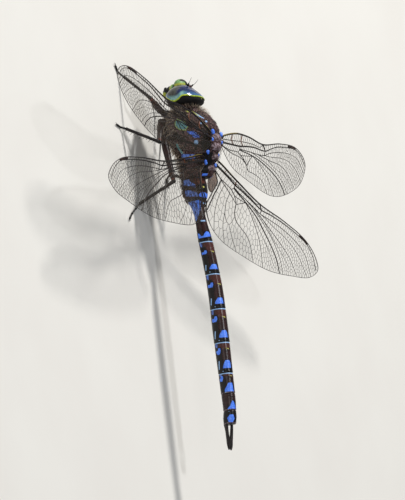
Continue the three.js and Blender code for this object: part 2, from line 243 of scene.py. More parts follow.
class Finish:
    """A material's nodes. Numbers may be given as they are or as the output of another node."""

    def __init__(self, name):
        self.material = bpy.data.materials.new(name)
        self.material.use_nodes = True
        self.nodes, self.links = self.material.node_tree.nodes, self.material.node_tree.links
        self.shader = self.nodes["Principled BSDF"]
        self.place = self.add("ShaderNodeTexCoord").outputs["Object"]

    def add(self, kind, inputs=(), **settings):
        node = self.nodes.new(kind)
        for key, value in settings.items():
            setattr(node, key, value)
        for key, value in dict(inputs).items():
            self.put(node.inputs[key], value)
        return node

    def put(self, socket, value):
        if isinstance(value, bpy.types.NodeSocket):
            self.links.new(value, socket)
        else:
            socket.default_value = value

    def field(self, name):
        return self.add("ShaderNodeAttribute", attribute_name=name).outputs["Fac"]

    def maths(self, operation, a, b, c=0.0):
        node = self.add("ShaderNodeMath", operation=operation)
        for socket, value in zip(node.inputs, (a, b, c)):
            self.put(socket, value)
        return node.outputs[0]

    def noise(self, size_mm, detail=3, stretch=None):
        """Noise from 0 to 1 whose features are about size_mm across."""
        place = self.place
        if stretch:
            place = self.add("ShaderNodeMapping", {"Vector": place, "Scale": stretch}).outputs[0]
        inputs = {"Vector": place, "Scale": 1 / (size_mm * MM), "Detail": detail}
        return self.add("ShaderNodeTexNoise", inputs).outputs["Fac"]

    def cells(self, size_mm):
        inputs = {"Vector": self.place, "Scale": 1 / (size_mm * MM)}
        return self.add("ShaderNodeTexVoronoi", inputs).outputs["Distance"]

    def edge(self, value, at, soft):
        """0 below at, 1 above it."""
        inputs = {"Value": value, "From Min": at - soft, "From Max": at + soft}
        return self.add("ShaderNodeMapRange", inputs, interpolation_type="SMOOTHSTEP").outputs[0]

    def mix(self, share, a, b):
        """Blends two colours, each given in screen values from 0 to 255 or by another node."""
        node = self.add("ShaderNodeMix", data_type="RGBA")
        self.put(node.inputs[0], share)
        for place, value in ((6, a), (7, b)):
            self.put(node.inputs[place], colour(*value) if isinstance(value, tuple) else value)
        return node.outputs[2]

    def mottled(self, size_mm, dark, light, at=0.5, soft=0.25, detail=3, stretch=None):
        """Two colours in patches of about size_mm."""
        return self.mix(self.edge(self.noise(size_mm, detail, stretch), at, soft), dark, light)

    def tint(self, base, name, shade, soft, at=0.0):
        """Lays a shade over the base inside a field."""
        return self.mix(self.edge(self.field(name), at, soft), base, shade)

    def paint(self, base, name, shade, size_mm, by, soft):
        """Lays a shade over the base inside a field, with an uneven edge."""
        uneven = self.maths("MULTIPLY_ADD", self.noise(size_mm), by * 2, -by)
        return self.mix(self.edge(self.maths("ADD", self.field(name), uneven), 0, soft), base, shade)

    def grain(self, size_mm, spread, low):
        """A roughness that wanders up from low."""
        return self.maths("MULTIPLY_ADD", self.noise(size_mm), spread, low)

    def bump(self, height, distance_mm, strength):
        values = {"Height": height, "Distance": distance_mm * MM, "Strength": strength}
        node = self.add("ShaderNodeBump", values)
        self.put(self.shader.inputs["Normal"], node.outputs[0])

    def pebbled(self, size_mm, cell_mm, detail=2, strength=0.6):
        """The fine unevenness of hard cuticle."""
        self.bump(self.maths("ADD", self.noise(size_mm, detail), self.cells(cell_mm)), 0.02, strength)

    def done(self, base, roughness, **others):
        for key, value in {"Base_Color": base, "Roughness": roughness, **others}.items():
            self.put(self.shader.inputs[key.replace("_", " ")], value)
        return self.material


def skin_finish():
    """Cuticle of thorax and abdomen: brown and hairy in front, dark and glossy behind, with blue marks."""
    f = Finish("cuticle")
    mottle, fine = f.noise(0.9, 4), f.noise(0.12)
    thorax = f.mix(f.edge(mottle, 0.5, 0.09), (18, 10, 12), (58, 34, 36))
    thorax = f.mottled(0.3, thorax, (112, 88, 87), 0.57, 0.07, 4)
    rear = f.mix(f.edge(mottle, 0.5, 0.25), (24, 14, 14), (54, 30, 28))
    base = f.mix(f.field("rear"), thorax, rear)
    base = f.paint(base, "rust", (72, 38, 34), 0.5, 0.2, 0.3)
    base = f.tint(base, "rust", (112, 60, 42), 0.15, 1.05)
    marks = [  # field, colour, then the size, reach and softness of its uneven edge
        ("black", (10, 8, 9), 0.4, 0.1, 0.08),
        ("teal_rim", f.mix(f.edge(fine, 0.5, 0.2), (128, 154, 82), (168, 182, 108)), 0.4, 0.1, 0.06),
        ("teal", f.mottled(0.35, (66, 118, 138), (116, 168, 164), soft=0.2, detail=4), 0.4, 0.12, 0.12),
        ("dusky", f.mottled(0.28, (30, 42, 96), (104, 140, 226), 0.47, 0.13, 4, (1, 0.35, 1)),
         0.4, 0.14, 0.1),
        ("blue", f.mottled(0.3, (58, 106, 234), (98, 152, 255)), 0.4, 0.07, 0.045),
        ("plate", f.mottled(0.35, (76, 54, 54), (150, 134, 142), soft=0.12), 0.3, 0.1, 0.08),
        ("pale", (150, 188, 232), 0.3, 0.04, 0.045),
        ("yellow", (184, 182, 96), 0.3, 0.04, 0.04),
        ("seam", (12, 8, 8), 0.3, 0.05, 0.06),
    ]
    for name, shade, size, by, soft in marks:
        base = f.paint(base, name, shade, size, by, soft)
    waves, pores = f.maths("MULTIPLY", f.noise(0.16, 2), 0.7), f.maths("MULTIPLY", f.cells(0.1), 0.5)
    height = f.maths("ADD", waves, pores)
    height = f.maths("MULTIPLY", height, f.maths("MULTIPLY_ADD", f.field("rear"), -0.8, 1.0))
    f.bump(height, 0.035, 0.7)
    rough = f.maths("MULTIPLY_ADD", fine, 0.12, f.maths("MULTIPLY_ADD", f.field("rear"), -0.54, 0.75))
    return f.done(base, rough, Specular_IOR_Level=0.32)


def eye_finish():
    """Three fields place the colours: rim is the distance in front of the eye's rear edge, low the depth
    below its middle, and pool is more than 0 in the teal part near the rear edge."""
    f = Finish("eye")
    rim = f.field("rim")
    wander = f.maths("MULTIPLY_ADD", f.noise(1.1, 2), 0.8, -0.4)
    navy = f.mottled(0.7, (18, 24, 54), (40, 54, 104))
    brown = f.mottled(0.5, (24, 25, 25), (60, 64, 58), soft=0.1, stretch=(1.4, 0.25, 2.6))
    base = f.mix(f.edge(f.maths("ADD", f.field("low"), wander), 0, 0.5), navy, brown)
    sky = f.mottled(0.6, (40, 74, 124), (70, 112, 154))
    teal = f.mottled(0.5, (84, 134, 146), (142, 184, 176))
    near = f.mix(f.edge(f.field("pool"), 0, 0.35), sky, teal)
    inner = f.maths("ADD", rim, f.maths("MULTIPLY", wander, 0.6))
    base = f.mix(f.edge(inner, 0.95, 0.45), near, base)
    line = f.mottled(0.5, (132, 160, 30), (190, 206, 62), soft=0.2, detail=2)
    base = f.mix(f.edge(rim, 0.3, 0.07), line, base)
    base = f.mix(f.edge(rim, 0.03, 0.04), (8, 8, 10), base)
    f.bump(f.cells(0.055), 0.004, 0.6)
    rough = f.maths("MULTIPLY_ADD", f.edge(rim, 0.1, 0.15), -0.3, 0.46)
    return f.done(base, rough, Specular_IOR_Level=0.3, Coat_Weight=0.22, Coat_Roughness=0.05)


def face_finish():
    """Green cuticle, yellow near the eyes and the mouth, with a black bar, black lines and orange ocelli."""
    f = Finish("face")
    base = f.mottled(0.8, (84, 128, 74), (134, 172, 112))
    base = f.tint(base, "warm", (178, 182, 66), 0.25)
    base = f.tint(base, "orange", (140, 74, 44), 0.1)
    base = f.paint(base, "black", (10, 9, 9), 0.3, 0.04, 0.05)
    f.pebbled(0.14, 0.11, 3, 0.5)
    return f.done(base, f.grain(0.2, 0.2, 0.32), Specular_IOR_Level=0.3)


def dark_finish(name, dark, light, size=0.6, rough=0.35):
    """Hard dark cuticle, lighter in places and finely grained."""
    f = Finish(name)
    f.pebbled(0.12, 0.09)
    base = f.mottled(size, dark, light, 0.52, 0.22)
    return f.done(base, f.grain(0.3, 0.25, rough - 0.1), Specular_IOR_Level=0.3)


def leg_finish():
    """Reddish brown cuticle with a paler reddish painted highlight round the knees, and black where the field
    says.
    """
    f = Finish("leg")
    base = f.mottled(0.8, (24, 12, 10), (54, 27, 22), soft=0.2, stretch=(1, 1, 0.4))
    # the knee field paints a paler reddish highlight round each knee
    base = f.tint(base, "knee", (112, 58, 48), 0.3)
    base = f.tint(base, "black", (12, 9, 9), 0.3)
    f.pebbled(0.1, 0.08)
    return f.done(base, f.grain(0.3, 0.2, 0.26), Specular_IOR_Level=0.35)


def membrane_finish():
    """The wings' clear skin, faintly amber, which shows mostly by its gloss."""
    f = Finish("membrane")
    base = f.mottled(1.2, f.mottled(4, (96, 88, 74), (124, 120, 114)), (112, 96, 62), 0.55, 0.2, 4)
    f.bump(f.maths("ADD", f.noise(1.6, 2), f.maths("MULTIPLY", f.noise(0.3, 2), 0.3)), 0.05, 0.5)
    return f.done(base, 0.12, IOR=1.56, Alpha=0.05)


def flap_finish():
    """The hindwing's membranule, soft and half clear."""
    f = Finish("membranule")
    f.bump(f.noise(0.3), 0.04, 0.7)
    base = f.mottled(0.5, (70, 52, 45), (128, 106, 92), soft=0.15, detail=4, stretch=(1, 0.3, 1))
    return f.done(base, 0.6, Specular_IOR_Level=0.2, Alpha=0.72)


def vein_finish():
    """Near black, with rusty bars and a yellow front edge."""
    f = Finish("vein")
    base = f.mottled(0.5, (12, 9, 9), (38, 26, 20))
    base = f.tint(base, "rust", (118, 66, 40), 0.1)
    base = f.tint(base, "yellow", (122, 106, 48), 0.02)
    f.bump(f.noise(0.15, 2), 0.02, 0.5)
    return f.done(base, 0.4, Specular_IOR_Level=0.3)


def hair_finish():
    """Tan to pale hair, which takes the colour of the marks it grows from."""
    f = Finish("hair")
    tan = f.mottled(0.5, (42, 27, 28), (94, 72, 70), soft=0.2)
    pale = f.mottled(0.4, (176, 154, 130), (226, 210, 190), soft=0.2)
    tufted = f.maths("MULTIPLY_ADD", f.edge(f.noise(1.1, 2), 0.58, 0.05), 0.4, f.field("white"))
    base = f.mix(f.edge(tufted, 0.5, 0.3), tan, pale)
    for name, shade in (("teal", (110, 148, 138)), ("blue", (96, 136, 220)), ("black", (40, 30, 28))):
        base = f.tint(base, name, shade, 0.1)
    return f.done(base, f.grain(0.3, 0.2, 0.6), Specular_IOR_Level=0.12)


def floor_finish():
    f = Finish("floor")
    return f.done(f.mottled(30, (226, 223, 217), (230, 228, 222), soft=0.3), 0.8)


# ---- the body's form, as in the CAD ----
# place along the body, height of the centre, half width, half height
PROTHORAX = [(-6.95, -2.8, 1.5, 1.9), (-6.6, -2.85, 2.2, 2.7), (-6.05, -2.85, 2.45, 3.05)]
THORAX = [
    (-5.95, -2.75, 2.75, 3.45), (-4.6, -2.65, 3.35, 4.8), (-3.0, -2.35, 3.8, 5.65), (-1.3, -1.95, 3.98, 5.7),
    (0.5, -1.4, 3.95, 5.3), (2.5, -1.0, 3.75, 4.7), (4.5, -1.14, 3.4, 4.14), (6.2, -1.58, 2.95, 3.63),
    (7.45, -2.05, 2.5, 3.0),
]
NECK = [(-8.1, -2.7, 0.9, 0.9), (-7.05, -2.7, 1.0, 1.0)]
JOINTS = [7.55, 9.2, 11.6, 20.0, 26.5, 33.4, 40.0, 46.0, 50.0, 53.3, 55.9]
# half heights at even places along each segment of the abdomen
SEGMENT_RADII = [
    [2.35, 2.5, 2.5], [2.5, 2.45, 2.28, 1.98], [1.9, 1.2, 1.08, 1.15, 1.3, 1.38], [1.37, 1.4, 1.42, 1.43],
    [1.42, 1.48, 1.5, 1.51], [1.49, 1.53, 1.54, 1.52], [1.48, 1.48, 1.45, 1.42], [1.39, 1.39, 1.36],
    [1.33, 1.31, 1.24], [1.23, 1.32, 1.2],
]


def axis_z(y):
    return -0.93 - 1.8 * (1 - smooth(y, 7, 32)) - 0.45 * smooth(y, 52, 57)


def body_stations():
    """Place along the body, centre height, half width, half height and squareness."""
    rows = [(*s, 2.0) for s in NECK] + [(*s, 2.1) for s in PROTHORAX] + [(*s, 2.35) for s in THORAX]
    for i, radii in enumerate(SEGMENT_RADII):
        for k, r in enumerate(radii):
            y = lerp(JOINTS[i] + 0.05, JOINTS[i + 1] - 0.05, k / (len(radii) - 1))
            rows.append((y, axis_z(y), r * 1.02, r, 2.1))
    return np.array(rows)


STATIONS = body_stations()
# place along the body, depth of the skin under the solids
COAT = [(-8.2, 0.05), (-6.9, 0.15), (-5.5, 0.3), (4.5, 0.3), (8.5, 0.12), (11.0, 0.03), (57, 0.03)]


def body_point(y, turn, out=0.0):
    """A point of the skin, turn being the angle from the middle of the back towards the left."""
    z, wide, high, square = (np.interp(y, STATIONS[:, 0], STATIONS[:, k]) for k in range(1, 5))
    deep = np.interp(y, *np.array(COAT).T) - out
    s, c = np.sin(turn), np.cos(turn)
    power = 2 / square
    x = (wide - deep) * np.sign(s) * np.abs(s) ** power
    return np.stack([x, y + 0 * x, z + (high - deep) * np.sign(c) * np.abs(c) ** power], -1)


def local_radius(y):
    return (np.interp(y, STATIONS[:, 0], STATIONS[:, 2]) + np.interp(y, STATIONS[:, 0], STATIONS[:, 3])) / 2


class Chart:
    """The skin laid out for drawing. Corners and stops are (place along the body, degrees from the middle
    of the back), and sizes are in millimetres. Each figure is the distance inside it, less than 0 outside."""

    def __init__(self, y, turn):
        self.y, self.degrees = y, np.degrees(np.abs(turn))

    def patch(self, centre, half, lean=0.0, corner=0.3):
        """A rounded oblong, leaning by some degrees."""
        dy = self.y - centre[0]
        dx = np.radians(self.degrees - centre[1]) * local_radius(centre[0])
        c, s = math.cos(math.radians(lean)), math.sin(math.radians(lean))
        a, b = np.abs(dy * c + dx * s) - half[0] + corner, np.abs(dx * c - dy * s) - half[1] + corner
        outside = np.hypot(np.maximum(a, 0), np.maximum(b, 0)) + np.minimum(np.maximum(a, b), 0)
        return corner - outside

    def stroke(self, stops, width, taper=False):
        """A line through stops, which may thin out towards its end."""
        best = np.full(np.shape(self.y), -9.0)
        for (y0, t0), (y1, t1) in zip(stops, stops[1:]):
            r = math.radians(1) * local_radius((y0 + y1) / 2)
            way, run = (t1 - t0) * r, y1 - y0
            across, along = (self.degrees - t0) * r, self.y - y0
            share = np.clip((across * way + along * run) / (way**2 + run**2), 0, 1)
            wide = width * (1 - 0.7 * share) if taper else width
            best = np.maximum(best, wide - np.hypot(across - share * way, along - share * run))
        return best

    def area(self, corners):
        """A closed outline."""
        corners = np.array(corners, float)
        out = np.full(np.shape(self.y), -2.0)
        near = (self.y > corners[:, 0].min() - 1) & (self.y < corners[:, 0].max() + 1)
        scale = (1, math.radians(1) * local_radius(corners[:, 0].mean()))
        p = np.stack([self.y[near], self.degrees[near]], -1) * scale
        q = corners * scale
        gap, inside = np.full(len(p), 9.0), np.zeros(len(p), bool)
        for start, end in zip(q, np.roll(q, -1, 0)):
            edge = end - start
            share = np.clip((p - start) @ edge / (edge @ edge), 0, 1)[:, None]
            gap = np.minimum(gap, np.linalg.norm(p - start - share * edge, axis=1))
            if edge[0]:
                crosses = (start[0] > p[:, 0]) != (end[0] > p[:, 0])
                inside ^= crosses & (p[:, 1] < start[1] + (p[:, 0] - start[0]) * edge[1] / edge[0])
        out[near] = np.where(inside, gap, -gap)
        return out


# the thorax's seams: place along the body, degrees from the middle of the back
SUTURES = [
    [(-5.9, 60), (-4.67, 54), (-3.36, 50), (-1.93, 44), (-0.25, 37)],
    [(-5.9, 96), (-5.03, 80), (-3.54, 72), (-2.08, 60), (-0.82, 48), (0.25, 37)],
    [(-5.9, 110), (-5.05, 96), (-3.67, 84), (-2.43, 76), (-1.04, 60)],
    [(-0.9, 128), (0.2, 100), (1.6, 78), (2.6, 60)],
    [(3.2, 132), (4.4, 100), (5.2, 70), (5.8, 52)],
]


def merged(*values):
    return np.maximum.reduce(values)


def band(value, low, high):
    """Distance inside a stretch of values."""
    return np.minimum(value - low, high - value)


def thorax_marks(m):
    first = m.area([(-4.3, 96), (-3.5, 86), (-2.5, 78), (-1.5, 87), (-2.0, 97), (-2.95, 103), (-3.8, 102)])
    return {
        "teal": merged(first - 0.14, m.stroke([(0.8, 117), (1.7, 119), (2.6, 115)], 0.26)),
        "teal_rim": first + 0.02,
        "blue": merged(
            m.area([(-1.4, 84), (-1.2, 74), (-0.55, 68), (-0.45, 77), (-0.75, 85)]),
            m.area([(-0.4, 80), (-0.4, 67), (0.1, 62), (0.42, 66), (0.1, 77)])),
        "dusky": m.area([(2.7, 118), (3.1, 98), (3.4, 84), (4.1, 84), (4.05, 102), (3.7, 120)]),
        "pale": merged(
            m.patch((-2.78, 34), (0.22, 0.26), corner=0.2),
            m.patch((1.13, 75), (0.4, 0.37), lean=20),
            m.patch((-2.5, 50), (0.18, 0.22), corner=0.15),
            m.stroke([(-4.75, 52), (-3.45, 35)], 0.3, taper=True)),
        "yellow": merged(
            m.stroke([(-5.2, 56), (-4.1, 44)], 0.25, taper=True),
            m.stroke([(-1.9, 37), (-1.4, 35)], 0.12),
            m.stroke([(-5.5, 72), (-5.2, 66)], 0.16)),
        "black": merged(
            m.area([(-1.4, 20), (-1.5, 38), (-0.8, 46), (1.5, 66), (3.0, 62), (2.4, 34), (0.6, 24)]),
            m.area([(3.2, 26), (3.2, 62), (5.0, 66), (6.9, 60), (7.1, 30), (6.2, 16), (4.9, 10)]),
            m.area([(-2.2, 107), (-1.0, 99), (0.4, 95), (0.6, 104), (-1.0, 114)])),
        "plate": merged(
            m.stroke([(0.4, 0), (0.5, 20)], 0.7), m.stroke([(2.2, 0), (2.2, 20)], 0.65),
            m.stroke([(3.9, 4), (4.2, 18)], 0.4), m.stroke([(6.0, 0), (6.1, 22)], 0.45)),
    }


def first_segments(m):
    """Marks of segments 1 to 3, and of the thorax's rear edge."""
    swoosh = m.area([(18.2, 18), (18.15, 44), (18.5, 62), (18.95, 74), (18.98, 96), (18.4, 106), (18.3, 130),
                     (19.2, 140), (19.35, 100), (19.28, 60), (19.15, 8), (18.6, 6)])
    flank = m.area([(11.95, 56), (12.25, 43), (13.2, 46), (14.4, 68), (15.3, 100), (15.9, 120), (15.0, 160),
                    (12.0, 160)])
    line = m.stroke([(11.3, 58), (12.2, 68), (13.6, 80)], 0.12, taper=True)
    return {
        "blue": merged(
            swoosh,
            m.area([(6.95, 24), (6.85, 40), (7.05, 51), (7.5, 50), (7.7, 36), (7.5, 22)]),
            m.area([(10.45, 36), (10.6, 10), (10.75, 0), (11.55, 0), (11.6, 20), (11.3, 50), (10.95, 52)]),
            m.area([(11.95, 72), (11.95, 56), (13.2, 50), (14.0, 62), (12.8, 72)])),
        "dusky": merged(
            m.area([(7.75, 90), (7.7, 128), (8.4, 136), (8.8, 108), (9.55, 64), (9.0, 64), (8.3, 84)]),
            m.area([(9.8, 118), (9.85, 96), (10.5, 64), (11.15, 54), (11.3, 64), (11.05, 100), (10.8, 124)]),
            np.minimum(flank, -line)),
        "yellow": m.patch((9.48, 25), (0.17, 0.42), corner=0.12),
        "pale": merged(
            m.patch((12.5, 12), (0.14, 0.32), corner=0.12), m.patch((15.95, 45), (0.13, 0.55), corner=0.12)),
        "black": merged(
            m.area([(8.7, 0), (8.9, 44), (9.5, 60), (10.3, 44), (10.3, 0)]), line, swoosh + 0.25, flank + 0.2,
            band(m.y, 11.5, 12.0), band(m.y, 19.2, 20.0)),
        "rust": m.area([(8.35, 12), (8.35, 42), (8.8, 40), (8.8, 12)]) + 1.2,
    }


# segments 4 to 8: place of the front dash, reach of the side spot and its degrees, reach of the rear spot
SEGMENTS = {
    4: {"dash": 0.33, "side": (0.29, 0.4, 76, 134), "rear": (0.73, 0.88, 84)},
    5: {"dash": 0.315, "side": (0.265, 0.4, 76, 133), "rear": (0.71, 0.88, 84)},
    6: {"dash": 0.265, "side": (0.235, 0.4, 80, 135), "rear": (0.67, 0.88, 84)},
    7: {"dash": 0.225, "side": (0.2, 0.4, 84, 128), "rear": (0.61, 0.86, 82)},
    8: {"dash": 0.165, "side": (0.14, 0.4, 92, 136), "rear": (0.51, 0.93, 92)},
}


def segment_marks(m, number):
    """Marks of segments 4 to 8."""
    row = SEGMENTS[number]
    start, end = JOINTS[number - 1], JOINTS[number]
    reach = math.radians(1) * local_radius((start + end) / 2)

    def at(share):
        return lerp(start, end, share)

    def on(corners):
        return m.area([(at(share), angle) for share, angle in corners])

    a, b, inner, outer = row["side"]
    side = on([(a, inner + 2), (a, inner + 17), (lerp(a, b, 0.4), inner + 25), (lerp(a, b, 0.34), outer - 12),
               (lerp(a, b, 0.5), outer), (b, outer - 12), (b, inner + 10), (lerp(a, b, 0.5), inner)])
    a, b, low = row["rear"]
    rear = on([(a, 22), (a, 56), (lerp(a, b, 0.35), 70), (lerp(a, b, 0.7), low - 3), (b, low), (b, 12),
               (lerp(a, b, 0.3), 14)])
    dash = row["dash"]
    ring = np.minimum(band(m.y, start + 0.02, start + 0.27), (136 - m.degrees) * reach)
    shade = np.minimum((m.degrees - 80) * reach, m.y - at(0.18))
    marks = {
        "blue": merged(rear, side),
        "dusky": on([(0.03, 102), (0.03, 138), (0.14, 128), (0.19, 108), (0.1, 104)]),
        "pale": merged(ring, m.stroke([(at(0.955), 86), (at(0.955), 84)], 0.08)),
        "yellow": on([(dash - 0.004, 12), (dash - 0.02, 52), (dash + 0.006, 34), (dash + 0.034, 14)]),
        "black": merged(band(m.y, at(b), end), side + 0.2, rear + 0.14, shade),
        "rust": np.minimum(band(m.y, start + 0.2, at(dash)), (92 - m.degrees) * reach),
    }
    if number < 8:
        marks["pale"] = merged(marks["pale"], m.stroke([(at(a + 0.01), 108), (at(b), 118)], 0.12))
    else:
        marks["plate"] = band(m.y, end - 0.2, end)
    return marks


def last_segments(m):
    """Marks of segments 9 and 10."""
    nine = m.area([(51.55, 28), (51.55, 40), (52.45, 60), (53.0, 85), (53.1, 85), (53.1, 4), (52.5, 6),
                   (51.95, 16)])
    ten = m.area([(54.2, 34), (54.15, 66), (54.8, 90), (55.55, 78), (55.7, 38), (55.0, 20)])
    return {
        "blue": merged(nine, ten),
        "pale": m.patch((53.55, 74), (0.06, 0.1), corner=0.05),
        "plate": merged(band(m.y, 53.1, 53.35), band(m.y, 55.65, 55.9)),
        "black": merged(ten + 0.5, nine + 0.3, band(m.y, 53.5, 56)),
    }


FIELDS = ("black", "blue", "dusky", "teal", "teal_rim", "pale", "yellow", "rust", "plate", "seam")


def body_fields(y, turn):
    """The distance inside each kind of mark, and how far each place belongs to the glossy rear."""
    m = Chart(y, turn)
    out = {key: np.full(y.shape, -1.0) for key in FIELDS}
    parts = [(thorax_marks(m), -9.0, 7.6), (first_segments(m), 7.0, 20.0)]
    parts += [(segment_marks(m, n), JOINTS[n - 1], JOINTS[n]) for n in SEGMENTS]
    parts += [(last_segments(m), JOINTS[8], JOINTS[10])]
    for marks, start, end in parts:
        here = (y >= start) & (y <= end)
        for key, value in marks.items():
            out[key] = np.where(here, np.maximum(out[key], value), out[key])
    seams = [m.stroke(line, 0.17) for line in SUTURES] + [0.09 - np.abs(y - j) for j in JOINTS]
    out["seam"] = merged(*seams, 0.1 - np.abs(y + 6.0))
    out["rear"] = smooth(y, 7.0, 8.6)
    return out


def body_rows():
    """Places of the skin's rings, closer together at the joints."""
    rows = [np.arange(-8.1, 7.4, 0.13), np.arange(7.4, 55.85, 0.11)]
    rows += [j + np.array([-0.1, -0.05, 0, 0.05, 0.1]) for j in JOINTS]
    rows = np.unique(np.round(np.concatenate(rows), 3))
    return rows[rows <= JOINTS[-1]]


def ridge(distance, width):
    return np.exp(-((distance / width) ** 2))


def body_relief(y, turn):
    """How far the skin stands out or sinks in."""
    m = Chart(y, turn)
    out = -0.16 * sum(ridge(m.stroke(line, 0), 0.2) for line in SUTURES)
    for j in JOINTS:
        out += 0.03 * ridge(y - j + 0.22, 0.16) - 0.1 * ridge(y - j, 0.07)
    for start, end in zip(JOINTS[3:9], JOINTS[4:10]):
        out += 0.03 * ridge(y - lerp(start, end, 0.2), 0.09)
    # the keel along the back, and a slight waviness of the thorax
    keel = 0.14 * smooth(y, -5.6, -4.5) * (1 - smooth(y, -1.5, 0.5)) + 0.03 * smooth(y, 9, 12)
    out += ridge(turn, 0.1) * keel
    out += 0.05 * np.sin(y * 2.3 + turn * 3) * (1 - smooth(y, 5, 7.5)) * smooth(y, -6, -5)
    # hollows beside the back, where the wings hinge, and the plates between them
    out -= 0.75 * ridge(m.degrees - 48, 15) * smooth(y, 0.8, 2.6) * (1 - smooth(y, 5.4, 6.8))
    for place, width, tall in ((0.4, 0.6, 0.3), (2.2, 0.55, 0.25), (4.1, 0.4, 0.15), (6.1, 0.4, 0.15)):
        out += tall * ridge(y - place, width) * ridge(m.degrees, 20)
    out -= (0.45 * ridge(y - 3.3, 0.6) + 0.6 * ridge(y - 5.2, 0.8)) * ridge(m.degrees, 34)
    out -= 0.3 * ridge(m.degrees - 28, 8) * smooth(y, -1.6, -0.6) * (1 - smooth(y, 5.8, 7.0))
    # the pleated side skin under the abdomen
    return out - 0.14 * ridge(m.degrees - 142, 7) * smooth(y, 12, 14) * (1 - smooth(y, 53, 55))


# hinge plates of the left side: centre and radius
KNOBS = [((1.88, -0.6, 3.3), 0.42), ((2.15, 0.9, 3.05), 0.36), ((2.35, 3.25, 1.95), 0.36),
         ((2.25, 5.1, 1.2), 0.38)]
# the left auricle and the plates under segment 2: centre and half sizes
EARS = ((2.0, 10.45, -3.0), (0.42, 0.7, 0.5))
UNDER_PLATES = [((0, 10.1, -4.85), (0.75, 0.8, 0.5)), ((0, 11.2, -4.45), (0.55, 0.7, 0.5))]
SKIN_SIDES = 128  # points round the body


def knob(centre, r, side):
    """A hinge plate beside the back, drawn out along the body and unevenly round."""
    points, faces = ball((0, 0, 0), (r, r * 1.15, r * 0.9))
    x, y, z = (points / r).T
    swell = 1 + 0.1 * np.sin(3.1 * y + centre[1]) + 0.08 * np.sin(4.3 * x * side + 2.0 * z)
    dent = 0.16 * ridge(y - 0.25, 0.3) * smooth(z, 0.1, 0.8)
    points = points * (swell - dent)[:, None]
    return points @ turned(0.35 * side) + centre, faces


def turned(angle):
    """Turns rows of points about the upright axis."""
    c, s = math.cos(angle), math.sin(angle)
    return np.array([(c, s, 0), (-s, c, 0), (0, 0, 1)])


def skin_extras():
    """Balls that grow from the skin, each with its mark and how deep inside that mark it lies."""
    for (x, y, z), r in KNOBS:
        for side in (1, -1):
            part = knob(np.array([x * side, y, z]), r, side)
            yield part, "blue", 0.75 * (part[0][:, 2] - z) / r + 0.3
    for side in (1, -1):
        yield ball(np.array([side, 1, 1]) * EARS[0], EARS[1]), "dusky", 0.6
    for centre, half in UNDER_PLATES:
        yield ball(centre, half), "rust", 0.6


def make_skin(material):
    """One skin over neck, thorax and abdomen, with its marks as fields."""
    turns = -2 * np.pi * np.arange(SKIN_SIDES) / SKIN_SIDES
    turns = np.where(turns < -np.pi, turns + 2 * np.pi, turns)
    y, turn = np.meshgrid(body_rows(), turns, indexing="ij")
    parts = [capped(body_point(y, turn, body_relief(y, turn)))]
    fields = {key: [value.ravel(), value[[0, -1], 0]] for key, value in body_fields(y, turn).items()}
    for part, kind, depth in skin_extras():
        parts.append(part)
        for key, values in fields.items():
            rest = 0.8 if key == "rear" else -1.0
            values.append(np.zeros(len(part[0])) + (depth if key == kind else rest))
    fields = {key: np.concatenate(values) for key, values in fields.items()}
    nodes = ["neck", "prothorax", "thorax"] + [f"abdomen_{n:02d}" for n in range(1, 11)]
    make_piece("body_skin", join(parts), material, nodes, fields)


# ---- head ----
# place along the body, height of the centre, half width, half height
HEAD = np.array([
    (-11.48, -2.75, 0.0, 0.0), (-11.4, -2.75, 0.7, 0.4), (-11.1, -2.7, 1.8, 1.05), (-10.6, -2.75, 3.0, 1.75),
    (-10.0, -2.9, 3.9, 2.5), (-9.3, -2.8, 4.5, 3.1), (-8.7, -2.55, 4.73, 3.35), (-8.15, -2.4, 4.75, 3.5),
    (-7.6, -2.4, 4.6, 3.45), (-7.05, -2.5, 3.8, 2.9), (-6.6, -2.6, 0.0, 0.0),
])
# the eye's rear edge: height, place along the body
EYE_REAR = [(-5.9, -9.5), (-5.3, -9.0), (-4.2, -8.05), (-3.4, -7.5), (-2.7, -7.35), (-1.9, -7.6),
            (-1.1, -8.15), (-0.4, -8.2), (0.4, -7.98), (1.2, -8.1)]


def head_form(p):
    """Head capsule and eyes as one shape, less than 0 inside."""
    y = p[..., 1]
    z = np.interp(y, HEAD[:, 0], HEAD[:, 1])
    squares = [hermite(np.stack([HEAD[:, 0], HEAD[:, k] ** 2], 1), y) for k in (2, 3)]
    wide, high = np.sqrt(np.maximum(squares, 1e-4))
    r = np.hypot(p[..., 0] / wide, (p[..., 2] - z) / high)
    outside = np.maximum(HEAD[0, 0] - y, y - HEAD[-1, 0])
    return np.maximum((r - 1) * np.minimum(wide, high), outside)


def eye_rear(z):
    return hermite(EYE_REAR, z)


def eye_form(p):
    """The left eye: the head's shape up to its middle line and to the eye's rear edge."""
    side = np.maximum(0.02 - p[..., 0], 1.45 * (-10.2 - p[..., 1]) - p[..., 0])
    form = smooth_max(head_form(p), side, 0.22)
    form = smooth_max(form, p[..., 1] - eye_rear(p[..., 2]), 0.14)
    return smooth_max(form, -5.45 - p[..., 2] - 0.15 * np.abs(p[..., 0]), 0.3)


def make_eyes(material):
    points, faces = star(np.array([2.2, -8.9, -2.5]), eye_form, 150, 100, 6.0)
    y, z = points.T[1:]
    fields = {
        "rim": eye_rear(z) - y,
        "low": -(z + 2.1) * 0.9 - (y + 9.2) * 0.25,
        "pool": np.minimum(-(z + 0.75), z + 4.0) * 0.8,
    }
    for hand, part in (("left", (points, faces)), ("right", mirrored((points, faces)))):
        make_piece("eye_ball_" + hand, part, material, ["eye_" + hand], fields)


# forehead, face and lip: centre and half sizes
FACE_BALLS = [
    ((0, -11.25, -3.0), (1.9, 1.28, 1.25)),
    ((0, -10.5, -4.35), (2.05, 1.3, 0.66)),
    ((0, -10.25, -5.05), (2.0, 1.3, 0.66)),
]


